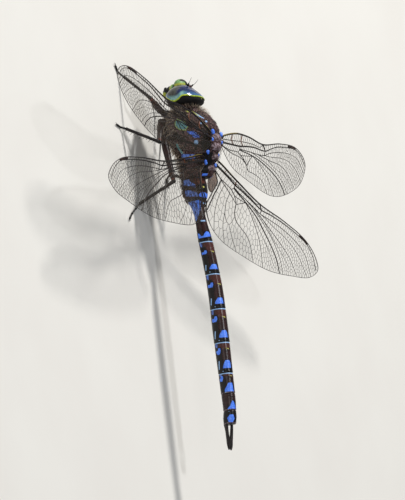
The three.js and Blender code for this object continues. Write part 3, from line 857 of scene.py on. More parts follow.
def face_form(p):
    form = ellipsoid(p, *FACE_BALLS[0])
    for oval in FACE_BALLS[1:]:
        form = smooth_min(form, ellipsoid(p, *oval), 0.16)
    return form


def make_face(material):
    points, faces = star(np.array([0, -10.2, -3.8]), face_form, 120, 90, 4.0)
    x, y, z = points.T
    wide = np.abs(x)
    bar = np.minimum(np.minimum(z + 2.6, 1.35 - wide), -11.75 - y)
    stem = np.minimum(0.5 - wide, z + 2.6)
    sutures = 0.11 - np.abs(z + 3.98 - 0.06 * wide**2)
    behind = np.minimum(y + 11.4, z + 3.7)
    fields = {
        "black": merged(bar, stem, sutures, -4.78 - z),
        "warm": merged(behind, 0.22 - np.abs(z + 4.6)),
        "orange": np.full(len(z), -1.0),
    }
    make_piece("face_shell", (points, faces), material, ["face"], fields)


def capsule_form(p):
    """The back of the head, hollow round the neck."""
    dish = np.hypot(p[..., 0] / 3.6, (p[..., 2] + 2.6) / 2.7)
    return smooth_max(head_form(p) + 0.12, p[..., 1] + 6.95 + 0.55 * np.exp(-(dish * 1.2) ** 2), 0.35)


def make_capsule(material, crown_material):
    """The back of the head, and the crown between the eyes with its three small eyes and the occiput."""
    shell = star(np.array([0, -8.8, -2.6]), capsule_form, 120, 80, 6.5)
    make_piece("head_shell", shell, material, ["head"])
    parts = [
        ("black", ball((0, -10.65, -1.4), (0.6, 0.55, 0.55))),
        ("orange", ball((0, -11.0, -1.1), (0.12, 0.11, 0.11), 14, 8)),
        ("orange", ball((-0.4, -10.7, -1.0), (0.11, 0.11, 0.1), 14, 8)),
        ("orange", ball((0.4, -10.7, -1.0), (0.11, 0.11, 0.1), 14, 8)),
        ("warm", ball((0, -7.9, 0.72), (0.4, 0.3, 0.26))),
    ]
    fields = {}
    for key in ("black", "warm", "orange"):
        values = [np.full(len(part[0]), 0.6 if kind == key else -0.6) for kind, part in parts]
        fields[key] = np.concatenate(values)
    make_piece("head_crown", join([part for _, part in parts]), crown_material, [], fields)


def make_antennae(material):
    """Two bristles on short thick bases."""
    for hand, side in (("left", 1), ("right", -1)):
        foot, tip = np.array([0.78 * side, -10.85, -1.2]), np.array([1.5 * side, -12.1, 0.1])
        bow = np.array([0.16 * side, 0.0, 0.1])
        base = [lerp(foot, tip, k) for k in (0, 0.14, 0.28)]
        bristle = [lerp(foot, tip, k) + bow * math.sin(k * math.pi) for k in np.linspace(0.24, 1, 9)]
        parts = [tube(base, [0.15, 0.17, 0.11], 10), tube(bristle, np.linspace(0.06, 0.018, 9), 6)]
        make_piece("feeler_" + hand, join(parts), material, ["antenna_" + hand])


def make_mouth(material):
    """Labium in the middle, with a palp and a mandible on each side."""
    parts = [ball((0, -9.75, -6.0), (1.05, 1.0, 0.5)), ball((0, -10.5, -5.75), (1.5, 0.9, 0.4))]
    for side in (1, -1):
        parts.append(ball((1.15 * side, -9.9, -5.9), (0.75, 1.0, 0.5)))
        parts.append(ball((1.55 * side, -10.45, -5.6), (0.4, 0.75, 0.45)))
    points, faces = join(parts)
    x, y, z = points.T
    cheek = 0.5 - np.linalg.norm(points - np.stack([np.sign(x) * 1.7, 0 * x - 9.75, 0 * x - 5.85], 1), axis=1)
    grooves = merged(0.12 - np.abs(np.abs(x) - 0.62), 0.3 - np.abs(y + 9.0))
    fields = {
        "black": np.minimum(merged(-10.2 - y, grooves, z + 6.05), -cheek),
        "warm": cheek,
        "orange": np.full(len(x), -1.0),
    }
    make_piece("mouth", (points, faces), material, ["mouthparts"], fields)


# ---- legs ----
# ends of the left coxa, then radii
HIPS = {
    "fore": {"root": (1.6, -5.0, -5.0), "hip": (2.6, -5.7, -6.1), "femur": 0.62, "tibia": 0.36},
    "mid": {"root": (2.0, -3.6, -5.6), "hip": (3.3, -4.5, -6.7), "femur": 0.66, "tibia": 0.38},
    "hind": {"root": (2.2, -0.8, -5.4), "hip": (3.5, -1.4, -6.5), "femur": 0.72, "tibia": 0.4},
}
# knee, ankle and claw, with X counted outwards; the claw's height is TOE_Z
STANCE = {
    "foreleg_left": ((6.6, -8.6, -6.9), (7.5, -13.6, -11.5), (9.1, -15.9)),
    "midleg_left": ((6.2, 0.2, -6.2), (8.9, -3.1, -11.7), (11.8, -3.7)),
    "hindleg_left": ((5.8, 8.3, -4.4), (7.3, 11.6, -11.5), (10.9, 15.0)),
    "foreleg_right": ((6.9, -7.3, -4.9), (7.6, -8.9, -11.7), (6.6, -11.7)),
    "midleg_right": ((6.4, -0.6, -6.0), (8.8, -3.4, -11.7), (11.6, -4.6)),
    "hindleg_right": ((6.6, 6.6, -4.2), (9.4, 3.4, -11.6), (9.3, 5.9)),
}
TOE_Z = -RIDE + 0.2
# (place along the limb, share of its radius)
COXA = [(0, 1), (0.4, 1.05), (0.85, 0.95), (1, 0.55)]
FEMUR = [(0, 0.55), (0.06, 0.7), (0.12, 0.9), (0.3, 1), (0.75, 0.76), (0.93, 0.66), (1, 0.5)]
TIBIA = [(0, 0.7), (0.05, 1.0), (0.14, 0.82), (0.3, 0.8), (0.9, 0.78), (1, 0.85)]
FOOT_RADII = [0.13, 0.19, 0.19, 0.19, 0.22, 0.15]


def line(start, end, count):
    """Evenly spaced places from start to end."""
    return np.array([lerp(start, end, t) for t in np.linspace(0, 1, count)])


def limb(start, end, radius, profile, count, sides):
    places, shares = zip(*profile)
    return tube(line(start, end, count), radius * np.interp(np.linspace(0, 1, count), places, shares), sides)


def spines(start, end, radius, length, count, out):
    """A row of tapering spines along a limb, pointing out and towards its end."""
    along = unit(end - start)
    for k in range(count):
        foot = lerp(start, end, (k + 0.7) / count)
        tall = length * (0.75 + 0.25 * math.sin(k * 2.1))
        low = foot + out * radius * 0.8
        tip = low + unit(out + along * 0.45) * tall
        yield tube([foot + out * radius * 0.6, lerp(low, tip, 0.5), tip], [0.05, 0.038, 0.008], 4, along)


def leg_places(name):
    """Root, hip, knee, ankle, heel and toe of a leg."""
    side = 1 if name.endswith("left") else -1
    hips = HIPS[name.split("leg")[0]]
    knee, ankle, claw = STANCE[name]
    places = np.array([hips["root"], hips["hip"], knee, ankle, (*claw, TOE_Z)]) * (side, 1, 1)
    ankle, claw = places[3:]
    heel = claw - unit((claw - ankle) * (1, 1, 0)) * 1.7
    return [*places[:4], heel, lerp(heel, claw, 0.9)]


def leg_limbs(places, wide, thin):
    """Coxa, femur, tibia and the three parts of the tarsus, each with its darkness from 0 to 1."""
    root, hip, knee, ankle, heel, toe = places
    yield limb(root, hip, 0.7, COXA, 9, 16), 0
    yield ball(lerp(hip, knee, 0.03), (0.56, 0.56, 0.56), 16, 10), 0.5
    yield limb(hip, knee, wide, FEMUR, 22, 16), 0
    yield ball(knee, (wide * 0.62,) * 3, 14, 8), 1
    yield limb(knee, ankle, thin, TIBIA, 22, 12), 0.6
    foot = [ankle, lerp(ankle, heel, 0.55), heel, toe]
    for start, end in zip(foot, foot[1:]):
        yield tube(line(start, end, 6), FOOT_RADII, 10), 0.8


def claws(toe, ahead, across):
    """A pair of hooks."""
    for side in (1, -1):
        bend = toe + ahead * 0.3 + across * side * 0.16 + (0, 0, 0.1)
        tip = toe + ahead * 0.52 + across * side * 0.2 + (0, 0, -0.04)
        path = through([toe, bend, tip], 0.1)
        yield tube(path, np.linspace(0.08, 0.015, len(path)), 6)


def leg_spines(places, across, wide, thin):
    """Rows of spines under the femur, behind the tibia and along the foot."""
    hip, knee, ankle, heel = places[1:5]
    thigh, shin = unit(knee - hip), unit(ankle - knee)
    under = unit(np.cross(np.cross(thigh, shin), thigh))
    back = unit(np.cross(np.cross(shin, thigh), shin))
    for side in (1, -1):
        out = unit(under + unit(np.cross(thigh, under)) * 0.5 * side)
        yield from spines(lerp(hip, knee, 0.2), knee, wide * 0.8, 0.4, 13, out)
        out = unit(back + unit(np.cross(shin, back)) * 0.6 * side)
        yield from spines(lerp(knee, ankle, 0.1), ankle, thin * 0.8, 0.85, 10, out)
        out = unit(np.array([0, 0, -0.2]) + across * side)
        yield from spines(ankle, heel, 0.16, 0.26, 8, out)


def make_leg(name, material):
    """Coxa, femur, tibia and tarsus with spines and a pair of claws."""
    hips = HIPS[name.split("leg")[0]]
    places = leg_places(name)
    knee, heel, toe = places[2], places[4], places[5]
    ahead = unit(toe - heel)
    across = unit(np.cross(ahead, (0, 0, 1)))
    parts = list(leg_limbs(places, hips["femur"], hips["tibia"]))
    parts += [(claw, 0.9) for claw in claws(toe, ahead, across)]
    parts += [(spine, 0.9) for spine in leg_spines(places, across, hips["femur"], hips["tibia"])]
    dark = np.concatenate([np.full(len(part[0]), shade) for part, shade in parts])
    points, faces = join([part for part, _ in parts])
    # a painted highlight on the coxa and femur within 0.9 mm of the knee
    knee_highlight = 0.9 - np.linalg.norm(points - knee, axis=1)
    fields = {"black": dark * 1.2 - 0.6, "knee": np.minimum(knee_highlight, 0.5 - dark) - 0.3}
    nodes = [f"{name}_{k}" for k in ("coxa", "femur", "tibia", "tarsus")]
    make_piece(name, (points, faces), material, nodes, fields)


# ---- wings ----
# kind and side, then sweep, rise and pitch in degrees
WINGS = {
    "forewing_left": ("fore", 1, 8.8, 3.8, 0), "forewing_right": ("fore", -1, 6.5, -3.0, 8),
    "hindwing_left": ("hind", 1, -6.3, 1.0, 4), "hindwing_right": ("hind", -1, -13.5, 2.0, 13),
}
FLAP_OPEN = {"hindwing_left": 0.22, "hindwing_right": 1.0}  # how wide each hindwing's membranule lies
MARGIN = {
    "fore": {
        "hinge": (3.3, 0, 3.0),
        "lead": [(-0.8, 0.4), (0, 0.6), (7, 1.3), (14, 0.95), (22.6, -0.2), (33, 0.35), (42, -0.1),
                 (46.6, -2.1), (47.5, -3.8)],
        "trail": [(47.5, -3.8), (44.6, -6.9), (35.5, -9.6), (26.5, -10.1), (12.6, -7.4), (5, -5.4),
                  (1.3, -3.3), (-0.8, -1.7)],
    },
    "hind": {
        "hinge": (3.6, 3.9, 0.95),
        "lead": [(-0.65, -0.3), (0, 0), (8, -0.8), (19, -1.8), (30, -1.5), (39.8, -2), (44.8, -3.8),
                 (46.5, -5.6)],
        "trail": [(46.5, -5.6), (44.2, -7.9), (36.6, -10.4), (27.8, -12.5), (18, -13.4), (7, -13.5),
                  (1.9, -11.9), (-0.4, -9.3), (0.4, -7.2), (1.3, -5.3), (1.9, -3.9), (0.7, -2.75),
                  (-0.65, -1.95)],
    },
}
# the membranule, a soft flap along the hindwing's inner edge: outer line from root to corner, then back
MEMBRANULE = [(-0.6, -2.1), (0.7, -2.8), (1.8, -3.9), (1.3, -5.1), (0.7, -6.3), (-0.4, -6.4), (-1.5, -5.4),
              (-1.6, -3.6)]
# veins: stations outwards and forwards, thickness at both ends, height of its pleat
VEINS = {
    "fore": {
        "subcosta": ([(-0.7, 0.0), (5, -0.1), (11, -0.1), (17, -0.35), (21.6, -0.75), (22.7, -0.25)], 0.09,
                     0.07, -0.5),
        "radius": ([(-0.7, -0.75), (4, -0.95), (8.8, -1.1), (13, -0.98), (17, -1.0), (23.7, -1.45),
                    (27.4, -0.85), (31, -0.35), (37.6, -0.24), (42, -0.56), (45, -1.7), (46.9, -3.4)], 0.19,
                   0.06, 1),
        "nodus": ([(22.65, -0.2), (23.1, -0.8), (23.7, -1.45), (23.65, -2.3)], 0.13, 0.08, 0.5),
        "arculus": ([(8.8, -1.1), (9.35, -1.65), (8.95, -2.2)], 0.09, 0.07, 0),
        "sector": ([(9.35, -1.6), (15, -1.9), (18.6, -2.15), (23.6, -2.3), (27, -1.75), (33, -1.35),
                    (39, -1.5), (43.5, -2.5), (46.3, -4.9)], 0.1, 0.05, -0.6),
        "second": ([(23.6, -2.3), (27.5, -2.5), (33, -2.5), (38, -3.1), (42, -4.7), (44.9, -6.75)], 0.06,
                   0.05, 0.6),
        "between": ([(19.5, -2.2), (23.3, -2.75), (27.2, -3.3), (32.6, -3.9), (37, -5.4), (40.6, -8.35)],
                    0.09, 0.05, -0.6),
        "third": ([(15.8, -1.95), (20, -2.85), (25.6, -4.2), (31, -5.9), (34.6, -7.9), (36.4, -9.5)], 0.07,
                  0.05, 0.5),
        "media": ([(9.35, -1.75), (16.4, -2.6), (20, -3.25), (25.6, -4.75), (30.9, -6.7), (33.6, -8.4),
                   (34.9, -9.7)], 0.13, 0.1, -0.4),
        "cubitus": ([(-0.7, -1.15), (4.1, -1.95), (8.9, -2.25), (10.4, -2.75), (13, -2.8), (16.8, -2.72)],
                    0.1, 0.07, -0.8),
        "triangle": ([(10.4, -2.75), (12.9, -4.9), (16.8, -2.72)], 0.08, 0.07, 0.2),
        "fork": ([(16.8, -2.72), (21, -4.6), (25, -6.9), (28.3, -10.2)], 0.07, 0.05, 0.4),
        "cubital_branch": ([(12.9, -4.9), (13.8, -5.6), (17.6, -6.2), (21.8, -7.4), (24.6, -9.95)], 0.08,
                           0.05, -0.4),
        "anal": ([(-0.7, -1.5), (4.1, -2.65), (8.6, -3.25), (10.7, -3.8), (12.9, -4.9)], 0.09, 0.07, 0.8),
        "rear_supplement": ([(19.6, -3.6), (23, -4.9), (27, -6.3), (30.6, -8.0)], 0.045, 0.04, 0.3),
        "front_supplement": ([(25.5, -3.2), (29.5, -4.7), (34, -5.6), (38, -7.4)], 0.045, 0.04, 0.3),
    },
    "hind": {
        "subcosta": ([(-0.55, -0.65), (0, -0.55), (5.5, -0.95), (10.9, -1.45), (15.5, -1.85), (18.0, -2.15),
                      (19.2, -1.85)], 0.09, 0.07, -0.5),
        "radius": ([(-0.55, -1.05), (1.2, -1.1), (5.6, -1.55), (8.1, -1.9), (11.5, -2.05), (15.1, -2.3),
                    (18.1, -2.55), (20.2, -2.7), (24, -2.3), (29.3, -2.0), (34, -2.0), (37, -2.15),
                    (40.6, -2.6), (43.6, -4.0), (45.6, -6.0)], 0.19, 0.06, 1),
        "nodus": ([(19.1, -1.8), (19.6, -2.3), (20.2, -2.75), (20.3, -3.4)], 0.13, 0.08, 0.5),
        "arculus": ([(8.1, -1.9), (8.5, -2.4), (8.0, -2.95)], 0.09, 0.07, 0),
        "sector": ([(8.5, -2.35), (14, -2.85), (18, -3.15), (20.3, -3.4), (24, -3.2), (30, -3.05),
                    (36, -3.5), (40.5, -4.6), (44.3, -7.7)], 0.1, 0.05, -0.6),
        "second": ([(20.3, -3.4), (26, -4.0), (32, -4.4), (37, -5.5), (41, -7.4), (42.9, -8.4)], 0.06, 0.05,
                   0.6),
        "between": ([(17.0, -3.1), (20.6, -3.85), (25.4, -4.9), (29.8, -5.9), (34.9, -7.4), (38.8, -9.65)],
                    0.09, 0.05, -0.6),
        "third": ([(13.6, -2.85), (18, -3.75), (23, -5.1), (28, -7.0), (31.7, -9.4), (33.4, -11.25)], 0.07,
                  0.05, 0.5),
        "media": ([(8.5, -2.5), (14.1, -3.35), (19.5, -4.6), (22.8, -5.95), (26.4, -7.5), (29.8, -9.4),
                   (32.0, -11.5)], 0.13, 0.1, -0.4),
        "cubitus": ([(-0.55, -1.5), (3, -2.4), (8.0, -2.95), (9.7, -3.6), (12, -3.6), (14.1, -3.45)], 0.1,
                    0.07, -0.8),
        "triangle": ([(9.7, -3.6), (10.4, -5.2), (14.1, -3.45)], 0.08, 0.07, 0.2),
        "fork": ([(14.1, -3.45), (18, -5.7), (22, -8.6), (25.3, -12.85)], 0.07, 0.05, 0.4),
        "cubital_branch": ([(10.4, -5.2), (10.6, -6.7), (11.6, -7.9), (14.2, -8.6), (18.0, -9.7),
                            (21.2, -13.1)], 0.09, 0.05, -0.4),
        "anal": ([(-0.55, -1.75), (1.2, -2.3), (3.4, -3.1), (6.3, -3.9), (10.4, -5.2)], 0.09, 0.07, 0.8),
        "loop": ([(7.0, -4.15), (6.4, -6.4), (7.4, -8.9), (9.3, -9.7), (11.0, -7.4)], 0.06, 0.05, 0.3),
        "first_anal": ([(4.4, -3.4), (3.4, -6.2), (3.2, -9.4), (4.4, -13.05)], 0.06, 0.05, -0.3),
        "second_anal": ([(6.8, -7.8), (7.2, -10.6), (9.0, -13.6)], 0.05, 0.05, -0.2),
        "third_anal": ([(9.3, -9.7), (11.4, -11.6), (14.0, -13.5)], 0.05, 0.05, 0.2),
        "inner": ([(2.7, -3.1), (2.0, -5.4), (0.3, -10.0)], 0.13, 0.12, 0.3),
        "rear_supplement": ([(17.2, -4.6), (20.5, -6.3), (24, -7.9), (28, -10.0)], 0.045, 0.04, 0.3),
        "front_supplement": ([(22.8, -4.5), (27, -6.2), (31, -7.5), (35.2, -9.2)], 0.045, 0.04, 0.3),
    },
}
# where the dark cell starts and ends along the wing
STIGMA = {"fore": (37.7, 42.0), "hind": (36.8, 40.6)}
GRID = 0.1  # spacing of the wing's working grid
PLEAT = 0.3  # height of the pleats at the root
CELL_SEED = 3
MEMBRANE_HALF = 0.03  # half the membrane's thickness
STIGMA_ROWS = ((-0.13, 0.6), (-0.11, 0.96), (0.11, 0.96), (0.13, 0.6))  # height, share of the outline
FLAP_ROWS = ((0.05, 0.8), (0.0, 1), (-0.05, 0.8))  # the same for the membranule
FLAT_VEINS = ("nodus", "arculus", "triangle", "loop", "inner")  # these cross the pleats and leave them alone
LEAST_SPOTS = 40  # a space with fewer points of the grid has no cross veins
RELAXATIONS = 14  # rounds in which the cells even out


def station(line, place):
    """How far forward a flat line runs at a place along the wing."""
    order = np.argsort(line[:, 0])
    return np.interp(place, line[order, 0], line[order, 1])


def nearest_gap(points, others):
    return np.sqrt(((points[:, None] - others[None]) ** 2).sum(-1).min(1))


def circle_centre(a, b, c):
    """Centre of the circle through three flat points."""
    b, c = b - a, c - a
    area = 2 * (b[0] * c[1] - b[1] * c[0])
    if abs(area) < 1e-9:
        area = 1e-9
    return a + np.array([c[1] * (b @ b) - b[1] * (c @ c), b[0] * (c @ c) - c[0] * (b @ b)]) / area


class WingPlan:
    """A wing laid flat: its outline, veins, cells and the height of its pleats."""

    def __init__(self, kind, draw):
        self.kind = kind
        margin = MARGIN[kind]
        self.outline = through(margin["lead"] + margin["trail"][1:], 0.4)
        tip = np.linalg.norm(self.outline - margin["lead"][-1], axis=1).argmin()
        self.lead, self.trail = self.outline[:tip + 1], self.outline[tip:]
        self.veins = {name: through(row[0], 0.35) for name, row in VEINS[kind].items()}
        corners = VEINS[kind]["triangle"][0]
        self.veins["triangle"] = np.concatenate([through(corners[:2], 0.35), through(corners[1:], 0.35)[1:]])
        self.low = self.outline.min(0) - 0.5
        self.size = np.ceil((self.outline.max(0) + 0.5 - self.low) / GRID).astype(int)
        self.heights = self.pleats()
        self.regions = self.label_regions()
        self.cross = self.cross_veins(draw)

    def pleats(self):
        """Height over the working grid: pleats run from vein to vein and fade outwards."""
        s, t = (self.low[k] + GRID * np.arange(self.size[k]) for k in (0, 1))
        lines = [(self.lead, 0.75, False), (self.trail, 0.0, False)]
        for name, (_, _, _, level) in VEINS[self.kind].items():
            if name not in FLAT_VEINS:
                lines.append((self.veins[name], level, True))
        out = np.zeros(self.size)
        for i, here in enumerate(s):
            stops = []
            for line, level, fades in lines:
                start, end = line[:, 0].min(), line[:, 0].max()
                if fades and start > 0:
                    level = level * smooth(here, start - 0.01, start + 2.5) * (1 - smooth(here, end - 4, end))
                if start <= here <= end:
                    stops.append((station(line, here), level))
            if stops:
                out[i] = np.interp(t, *np.array(sorted(stops)).T)
        out *= PLEAT * lerp(1.0, 0.3, smooth(s, 2, 34))[:, None]
        for _ in range(2):
            out = (np.roll(out, 1, 0) + np.roll(out, -1, 0) + 2 * out) / 4
        return out

    def height(self, flat):
        """Height of the pleats at flat places, between the points of the grid."""
        g = np.clip((flat - self.low) / GRID, 0, self.size - 1.001)
        i, j = g.astype(int).T
        u, v = (g % 1).T
        h = self.heights
        return lerp(lerp(h[i, j], h[i + 1, j], u), lerp(h[i, j + 1], h[i + 1, j + 1], u), v)

    def places(self, flat):
        """The grid's points nearest to flat places."""
        return ((flat - self.low) / GRID).round().astype(int)

    def label_regions(self):
        """Numbers the spaces between the veins on the working grid; 0 is outside or on a vein."""
        walls = np.zeros(self.size, bool)
        for line in [self.outline, self.outline[[-1, 0]], *self.veins.values()]:
            for a, b in zip(line, line[1:]):
                n = int(np.linalg.norm(b - a) / GRID * 3) + 2
                i, j = np.clip(self.places(lerp(a, b, np.linspace(0, 1, n)[:, None])), 0, self.size - 1).T
                walls[i, j] = True
                walls[i, np.minimum(j + 1, self.size[1] - 1)] = True
        labels = np.where(walls, 0, -1)
        number = 0
        for start in zip(*np.nonzero(labels == -1)):
            if labels[start] == -1:
                number += 1
                self.flood(labels, start, number)
        labels[labels == labels[0, 0]] = 0
        return labels

    def flood(self, labels, start, number):
        stack, labels[start] = [start], number
        while stack:
            i, j = stack.pop()
            for a, b in ((i + 1, j), (i - 1, j), (i, j + 1), (i, j - 1)):
                if 0 <= a < self.size[0] and 0 <= b < self.size[1] and labels[a, b] == -1:
                    labels[a, b] = number
                    stack.append((a, b))

    def cross_veins(self, draw):
        """Cross veins as pairs of flat points: edges of relaxed cells in each space."""
        made = []
        for number in np.unique(self.regions[self.regions > 0]):
            spots = self.low + GRID * np.argwhere(self.regions == number)
            if len(spots) >= LEAST_SPOTS:
                made += self.cells_of(number, spots, draw)
        return [pair for pair in made if not self.in_stigma(pair)]

    def in_stigma(self, pair):
        s, t = (pair[0] + pair[1]) / 2
        start, end = STIGMA[self.kind]
        return start < s < end and t > station(self.veins["radius"], s) - 0.1

    def cell_area(self, spots):
        """Wanted area of a cell at each spot: larger near the base, and no wider than its space."""
        columns = np.round((spots[:, 0] - self.low[0]) / GRID).astype(int)
        tall = np.bincount(columns, minlength=self.size[0])[columns] * GRID
        free = lerp(1.3, 0.52, smooth(spots[:, 0], 4, 38))
        if self.kind == "hind":
            free = lerp(2.0, 0.52, smooth(spots[:, 0] - spots[:, 1] * 0.2, 4, 36))
        pitch = np.where(spots[:, 0] > 24, 0.85, 1.05)
        return np.where(tall < 1.15 * np.sqrt(free), tall * pitch, free)

    def cells_of(self, number, spots, draw):
        """Cells of one space: seeds spread over it by the wanted area, then moved to their cells' centres."""
        share = GRID * GRID / self.cell_area(spots)
        count = int(round(share.sum()))
        if count < 2:
            return []
        order = np.lexsort((spots[:, 1], spots[:, 0]))
        reach = np.cumsum(share[order]) / share.sum()
        seeds = np.empty((count, 2))
        for k in range(count):
            at = order[min(np.searchsorted(reach, (k + 0.5) / count), len(order) - 1)]
            column = spots[np.abs(spots[:, 0] - spots[at, 0]) < GRID / 2, 1]
            seeds[k] = spots[at, 0], lerp(column[0], column[-1], draw.uniform(0.2, 0.8))
        for _ in range(RELAXATIONS):
            nearest = ((spots[:, None] - seeds[None]) ** 2).sum(-1).argmin(1)
            total = np.bincount(nearest, share, count)
            for k in (0, 1):
                centre = np.bincount(nearest, share * spots[:, k], count) / np.maximum(total, 1e-9)
                seeds[:, k] = np.where(total > 0, centre, seeds[:, k])
        return self.cell_edges(number, seeds)

    def cell_edges(self, number, seeds):
        """Edges of the cells: they join the circle centres of neighbouring triangles between the seeds."""
        far = 200.0
        points = np.array(seeds.tolist() + [(far, far), (-far, far), (far, -far), (-far, -far)])
        _, _, faces, _, _, _ = delaunay_2d_cdt([Vector(p) for p in points.tolist()], [], [], 0, 1e-6)
        centres, owners = [], {}
        for n, face in enumerate(faces):
            centres.append(circle_centre(*points[list(face)]))
            for k in range(3):
                owners.setdefault(frozenset((face[k], face[(k + 1) % 3])), []).append(n)
        edges = []
        for pair, sides in owners.items():
            if len(sides) == 2 and max(pair) < len(seeds):
                edges += self.inside(number, centres[sides[0]], centres[sides[1]], points[list(pair)].mean(0))
        return edges

    def inside(self, number, a, b, middle):
        """The stretch of a cell edge that lies in its own space, carried on to the veins around it."""
        reach = 6.0
        gaps = [p - middle for p in (a, b)]
        a, b = (middle + (gap if np.linalg.norm(gap) <= reach else unit(gap) * reach) for gap in gaps)
        n = max(3, int(np.linalg.norm(b - a) / (GRID * 0.5)))
        line = lerp(a, b, np.linspace(0, 1, n)[:, None])
        g = self.places(line)
        good = (g >= 0).all(1) & (g < self.size).all(1)
        i, j = np.clip(g, 0, self.size - 1).T
        good &= self.regions[i, j] == number
        change = np.diff(np.concatenate([[0], good, [0]]).astype(int))
        runs = zip(np.flatnonzero(change == 1), np.flatnonzero(change == -1))
        step = unit(b - a) * GRID * 1.2
        return [(line[i] - step * (i > 0), line[j - 1] + step * (j < n)) for i, j in runs if j - i >= 3]


class WingPose:
    """Sets a flat wing out in space, where span points to the tip and up out of the upper side."""

    def __init__(self, name, plan):
        kind, side, *turns = WINGS[name]
        sweep, rise, pitch = (math.radians(turn) for turn in turns)
        span = np.array([math.cos(sweep) * math.cos(rise), -math.sin(sweep) * math.cos(rise), math.sin(rise)])
        ahead = np.array([0, -1.0, 0])
        ahead = unit(ahead - span * (ahead @ span))
        dorsal = np.cross(ahead, span)
        front = ahead * math.cos(pitch) + dorsal * math.sin(pitch)
        up = dorsal * math.cos(pitch) - ahead * math.sin(pitch)
        up *= np.sign(up[2])
        self.plan = plan
        self.hinge = np.array(MARGIN[kind]["hinge"]) * (side, 1, 1)
        self.span, self.front, self.up = np.array([span, front, up]) * (side, 1, 1)

    def __call__(self, flat, lift=0.0):
        flat = np.asarray(flat, float)
        height = self.plan.height(flat) + lift
        return self.hinge + flat[:, :1] * self.span + flat[:, 1:] * self.front + height[:, None] * self.up


def vein_lines(plan):
    """Every lengthwise vein as a flat line with its radii, the costa first."""
    share = np.arange(len(plan.lead)) / len(plan.lead)
    yield plan.lead, np.interp(share, [0, 0.5, 0.8, 1], [0.2, 0.14, 0.08, 0.07])
    yield plan.trail, np.interp(plan.trail[:, 0], [0.5, 3.0], [0.12 if plan.kind == "hind" else 0.06, 0.055])
    for name, line in plan.veins.items():
        thick, thin = VEINS[plan.kind][name][1:3]
        yield line, np.linspace(thick, thin, len(line))


def wing_tubes(plan, pose):
    """The vein network as tubes, with a field each for yellow and rusty parts."""
    parts, yellow, rust = [], [], []

    def add(line, radii, sides=6, rusty=-1.0):
        parts.append(tube(pose(line), radii, sides, pose.up))
        yellow.append(np.full(len(parts[-1][0]), -1.0))
        rust.append(np.full(len(parts[-1][0]), rusty))

    for line, radii in vein_lines(plan):
        add(line, radii)
    nodus = plan.veins["nodus"][0, 0]
    costa = np.repeat(plan.lead, 6, axis=0)
    lean = (parts[0][0][:-2] - pose(costa)) @ pose.front
    yellow[0][:-2][(lean > 0.09) & (costa[:, 0] < nodus * 0.8)] = 0.3
    for place in (nodus * 0.22, nodus * 0.46):
        a, b = (np.array([place, station(line, place)]) for line in (plan.lead, plan.veins["radius"]))
        add([a, (a + b) / 2, b], 0.085, rusty=0.3)
    for a, b in plan.cross:
        add([a, (a + b) / 2, b], 0.034, 4)
    return join(parts), np.concatenate(yellow), np.concatenate(rust)


def wing_sheet(plan, pose):
    """The clear membrane: a thin closed plate that follows the pleats."""
    ring = through(np.concatenate([plan.lead, plan.trail[1:], plan.lead[:1]]), 0.45)[:-1]
    i, j = np.nonzero(plan.regions > 0)
    keep = (i % 6 == 0) & (j % 3 == (i // 6) % 2)
    inner = plan.low + GRID * np.stack([i, j], 1)[keep]
    along = np.concatenate([line[1:-1] for line in plan.veins.values()])
    along = along[nearest_gap(along, ring) > 0.2]
    apart = [k for k in range(1, len(along)) if nearest_gap(along[k:k + 1], along[:k])[0] > 0.12]
    along = along[[0, *apart]]
    inner = inner[nearest_gap(inner, np.concatenate([ring, along])) > 0.22]
    flat = np.concatenate([ring, along, inner])
    loop = list(range(len(ring)))
    coords, _, faces, _, _, _ = delaunay_2d_cdt([Vector(p) for p in flat.tolist()], [], [loop], 1, 1e-6)
    flat = np.array([tuple(c) for c in coords])
    n = len(flat)
    closed = [list(f) for f in faces] + [[k + n for k in reversed(f)] for f in faces]
    closed += [[loop[k - 1], loop[k - 1] + n, loop[k] + n, loop[k]] for k in range(len(loop))]
    return np.concatenate([pose(flat, MEMBRANE_HALF), pose(flat, -MEMBRANE_HALF)]), closed


def stigma_plate(plan, pose):
    """The dark cell near the tip, thicker than the membrane, its rear edge a little nearer the base."""
    s = np.linspace(*STIGMA[plan.kind], 16)
    front = np.stack([s, station(plan.lead, s)], 1)
    back = np.stack([s - 0.25, station(plan.veins["radius"], s)], 1)
    ring = np.concatenate([front, back[::-1]])
    return capped(np.array([pose(lerp(ring.mean(0), ring, share), rise) for rise, share in STIGMA_ROWS]))


def make_flap(name, pose, material):
    """The hindwing's membranule."""
    flap = through(MEMBRANULE + MEMBRANULE[:1], 0.3)[:-1]
    flap[:, 0] = lerp(flap[:, 0].max(), flap[:, 0], FLAP_OPEN[name])
    rows = [pose(lerp(flap.mean(0), flap, share), rise) for rise, share in FLAP_ROWS]
    make_piece(name + "_flap", capped(np.array(rows)), material)


def make_wing(name, plan, materials):
    pose = WingPose(name, plan)
    veins, yellow, rust = wing_tubes(plan, pose)
    make_piece(name + "_veins", veins, materials["vein"], [], {"yellow": yellow, "rust": rust})
    make_piece(name + "_membrane", wing_sheet(plan, pose), materials["membrane"], [name])
    make_piece(name + "_stigma", stigma_plate(plan, pose), materials["stigma"])
    if plan.kind == "hind":
        make_flap(name, pose, materials["flap"])
    make_root(name, pose, materials["root"])


# hinge plates: place outwards, place forwards and half sizes
ROOT_PLATES = [
    (-0.7, 0.35, (0.75, 0.34, 0.3)), (-0.5, -0.6, (0.85, 0.36, 0.32)), (-0.8, -1.3, (0.7, 0.3, 0.28)),
]


def make_root(name, pose, material):
    """Hinge plates that carry the wing's front veins."""
    axes = np.array([pose.span, pose.front, pose.up])
    shift = -0.5 if pose.plan.kind == "hind" else 0.0
    parts = []
    for out, ahead, half in ROOT_PLATES:
        parts.append(ball(pose.hinge + out * pose.span + (ahead + shift) * pose.front, half, 16, 10, axes))
    make_piece(name + "_root", join(parts), material)


